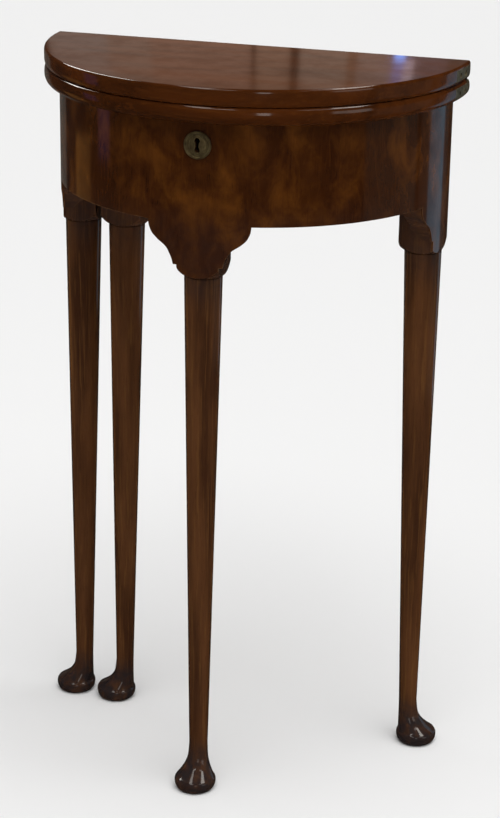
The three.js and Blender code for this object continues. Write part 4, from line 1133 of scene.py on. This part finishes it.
def hanging(name, start, end, width, glow):
    """A long softbox facing down from the ceiling, from one point of the plan to another."""
    start = Vector((*start, CEILING))
    end = Vector((*end, CEILING))
    run = end - start
    middle = (start + end) / 2
    below = (middle.x, middle.y, 0)
    lamp = softbox(name, middle, below, width, run.length, glow, LAMPLIGHT)
    lamp.rotation_euler = (0, 0, atan2(run.y, run.x) - pi / 2)
    return lamp


sun("overhead", (-0.2, 0.25, -1), 2.7, 60)
sun("sky_fill", (0, 0, -1), 0.8, 175)
standing("left_strip", -137, 1.2, 0.5, 0.0, 0.75, 0.1, (1, 0.9, 0.78))
standing("left_warm", -101, 1.2, 0.34, 0.0, 0.4, 0.35, (1, 0.44, 0.1))
standing("left_sliver", -80, 1.2, 0.2, 0.37, 0.75, 0.2, (0.5, 0.28, 1))
standing("right_strip", 137, 1.2, 0.36, 0.0, 0.75, 0.46, (0.32, 0.7, 1))
standing("right_haze", 98, 1.2, 0.8, 0.0, 0.75, 0.08, (0.6, 1, 0.95))
standing("right_glow", 136, 1.2, 0.7, 0.0, 0.75, 0.06, (1, 0.85, 0.75))
softbox("window", (-1.2, 0.45, 1.72), (0, -0.1, 0.7), 0.5, 0.9, 16, DAYLIGHT)
for name, turn, width, strength in (("window_front", 19.5, 0.36, 0.85), ("window_right", 66, 1.15, 0.4)):
    for share, glow in ((1, 3), (0.66, 4), (0.33, 5)):
        standing(name, turn, 3, width * share, 0.26 + 0.1 * share, 1.4, glow * strength, DAYLIGHT)
hanging("ceiling_lamp_left", (-0.55, -1.7), (-0.5, 0.3), 0.35, 4)
hanging("ceiling_lamp_front", (-0.6, -1.75), (0.1, -1.85), 0.3, 6)
hanging("ceiling_lamp_side", (1.2, -1.3), (1.9, -0.9), 0.3, 3)
hanging("ceiling_lamp_right", (1.9, -0.65), (0.43, 0.75), 0.6, 7)

# What the polished top mirrors of the room behind: lit panels side by side, with dark gaps between them.
# Each has its ends across, its foot and top, its glow and its colour.
WALL_Y = 2.2
WALL_PANELS = [
    (-1.1, -0.96, 1, 1.5, 0.32, (1, 0.77, 0.66)), (-0.96, -0.86, 1, 1.5, 0.33, (1, 0.68, 0.53)),
    (-0.86, -0.627, 1, 1.5, 0.345, (1, 0.6, 0.44)), (-0.617, -0.538, 1, 1.5, 0.345, (1, 0.63, 0.45)),
    (-0.518, -0.41, 1, 1.5, 0.365, (1, 0.71, 0.55)), (-0.41, -0.388, 1, 1.5, 0.26, (1, 0.55, 0.35)),
    (-0.388, -0.307, 1, 1.5, 0.365, (1, 0.69, 0.57)), (-0.307, -0.285, 1, 1.2, 3.8, (0.2, 0.38, 1)),
    (-0.307, -0.285, 1.2, 1.5, 0.6, (0.6, 0.5, 1)), (-0.285, -0.262, 1.18, 1.5, 0.8, (1, 0.75, 0.8)),
    (-0.262, -0.19, 1, 1.5, 0.18, (1, 0.75, 0.8)), (-0.19, -0.1, 1, 1.5, 0.1, (1, 0.85, 0.75)),
]
for i, (start, end, low, high, glow, colour) in enumerate(WALL_PANELS):
    place = ((start + end) / 2, WALL_Y, (low + high) / 2)
    target = (place[0], 0, place[2])
    softbox("wall_panel_" + str(i + 1), place, target, end - start, high - low, glow, colour)

camera_data = bpy.data.cameras.new("camera")
camera_data.lens = 96.82
camera_data.sensor_width = 36
camera = bpy.data.objects.new("camera", camera_data)
bpy.context.scene.collection.objects.link(camera)
place = Matrix.Translation(at(597.7, -2057.5, 1128.7))
sideways = Matrix.Rotation(radians(16.295), 4, "Z")
downwards = Matrix.Rotation(radians(90 - 20.191), 4, "X")
tilted = Matrix.Rotation(radians(0.905), 4, "Z")
camera.matrix_world = place @ sideways @ downwards @ tilted
bpy.context.scene.camera = camera
bpy.context.scene.view_settings.view_transform = "Standard"
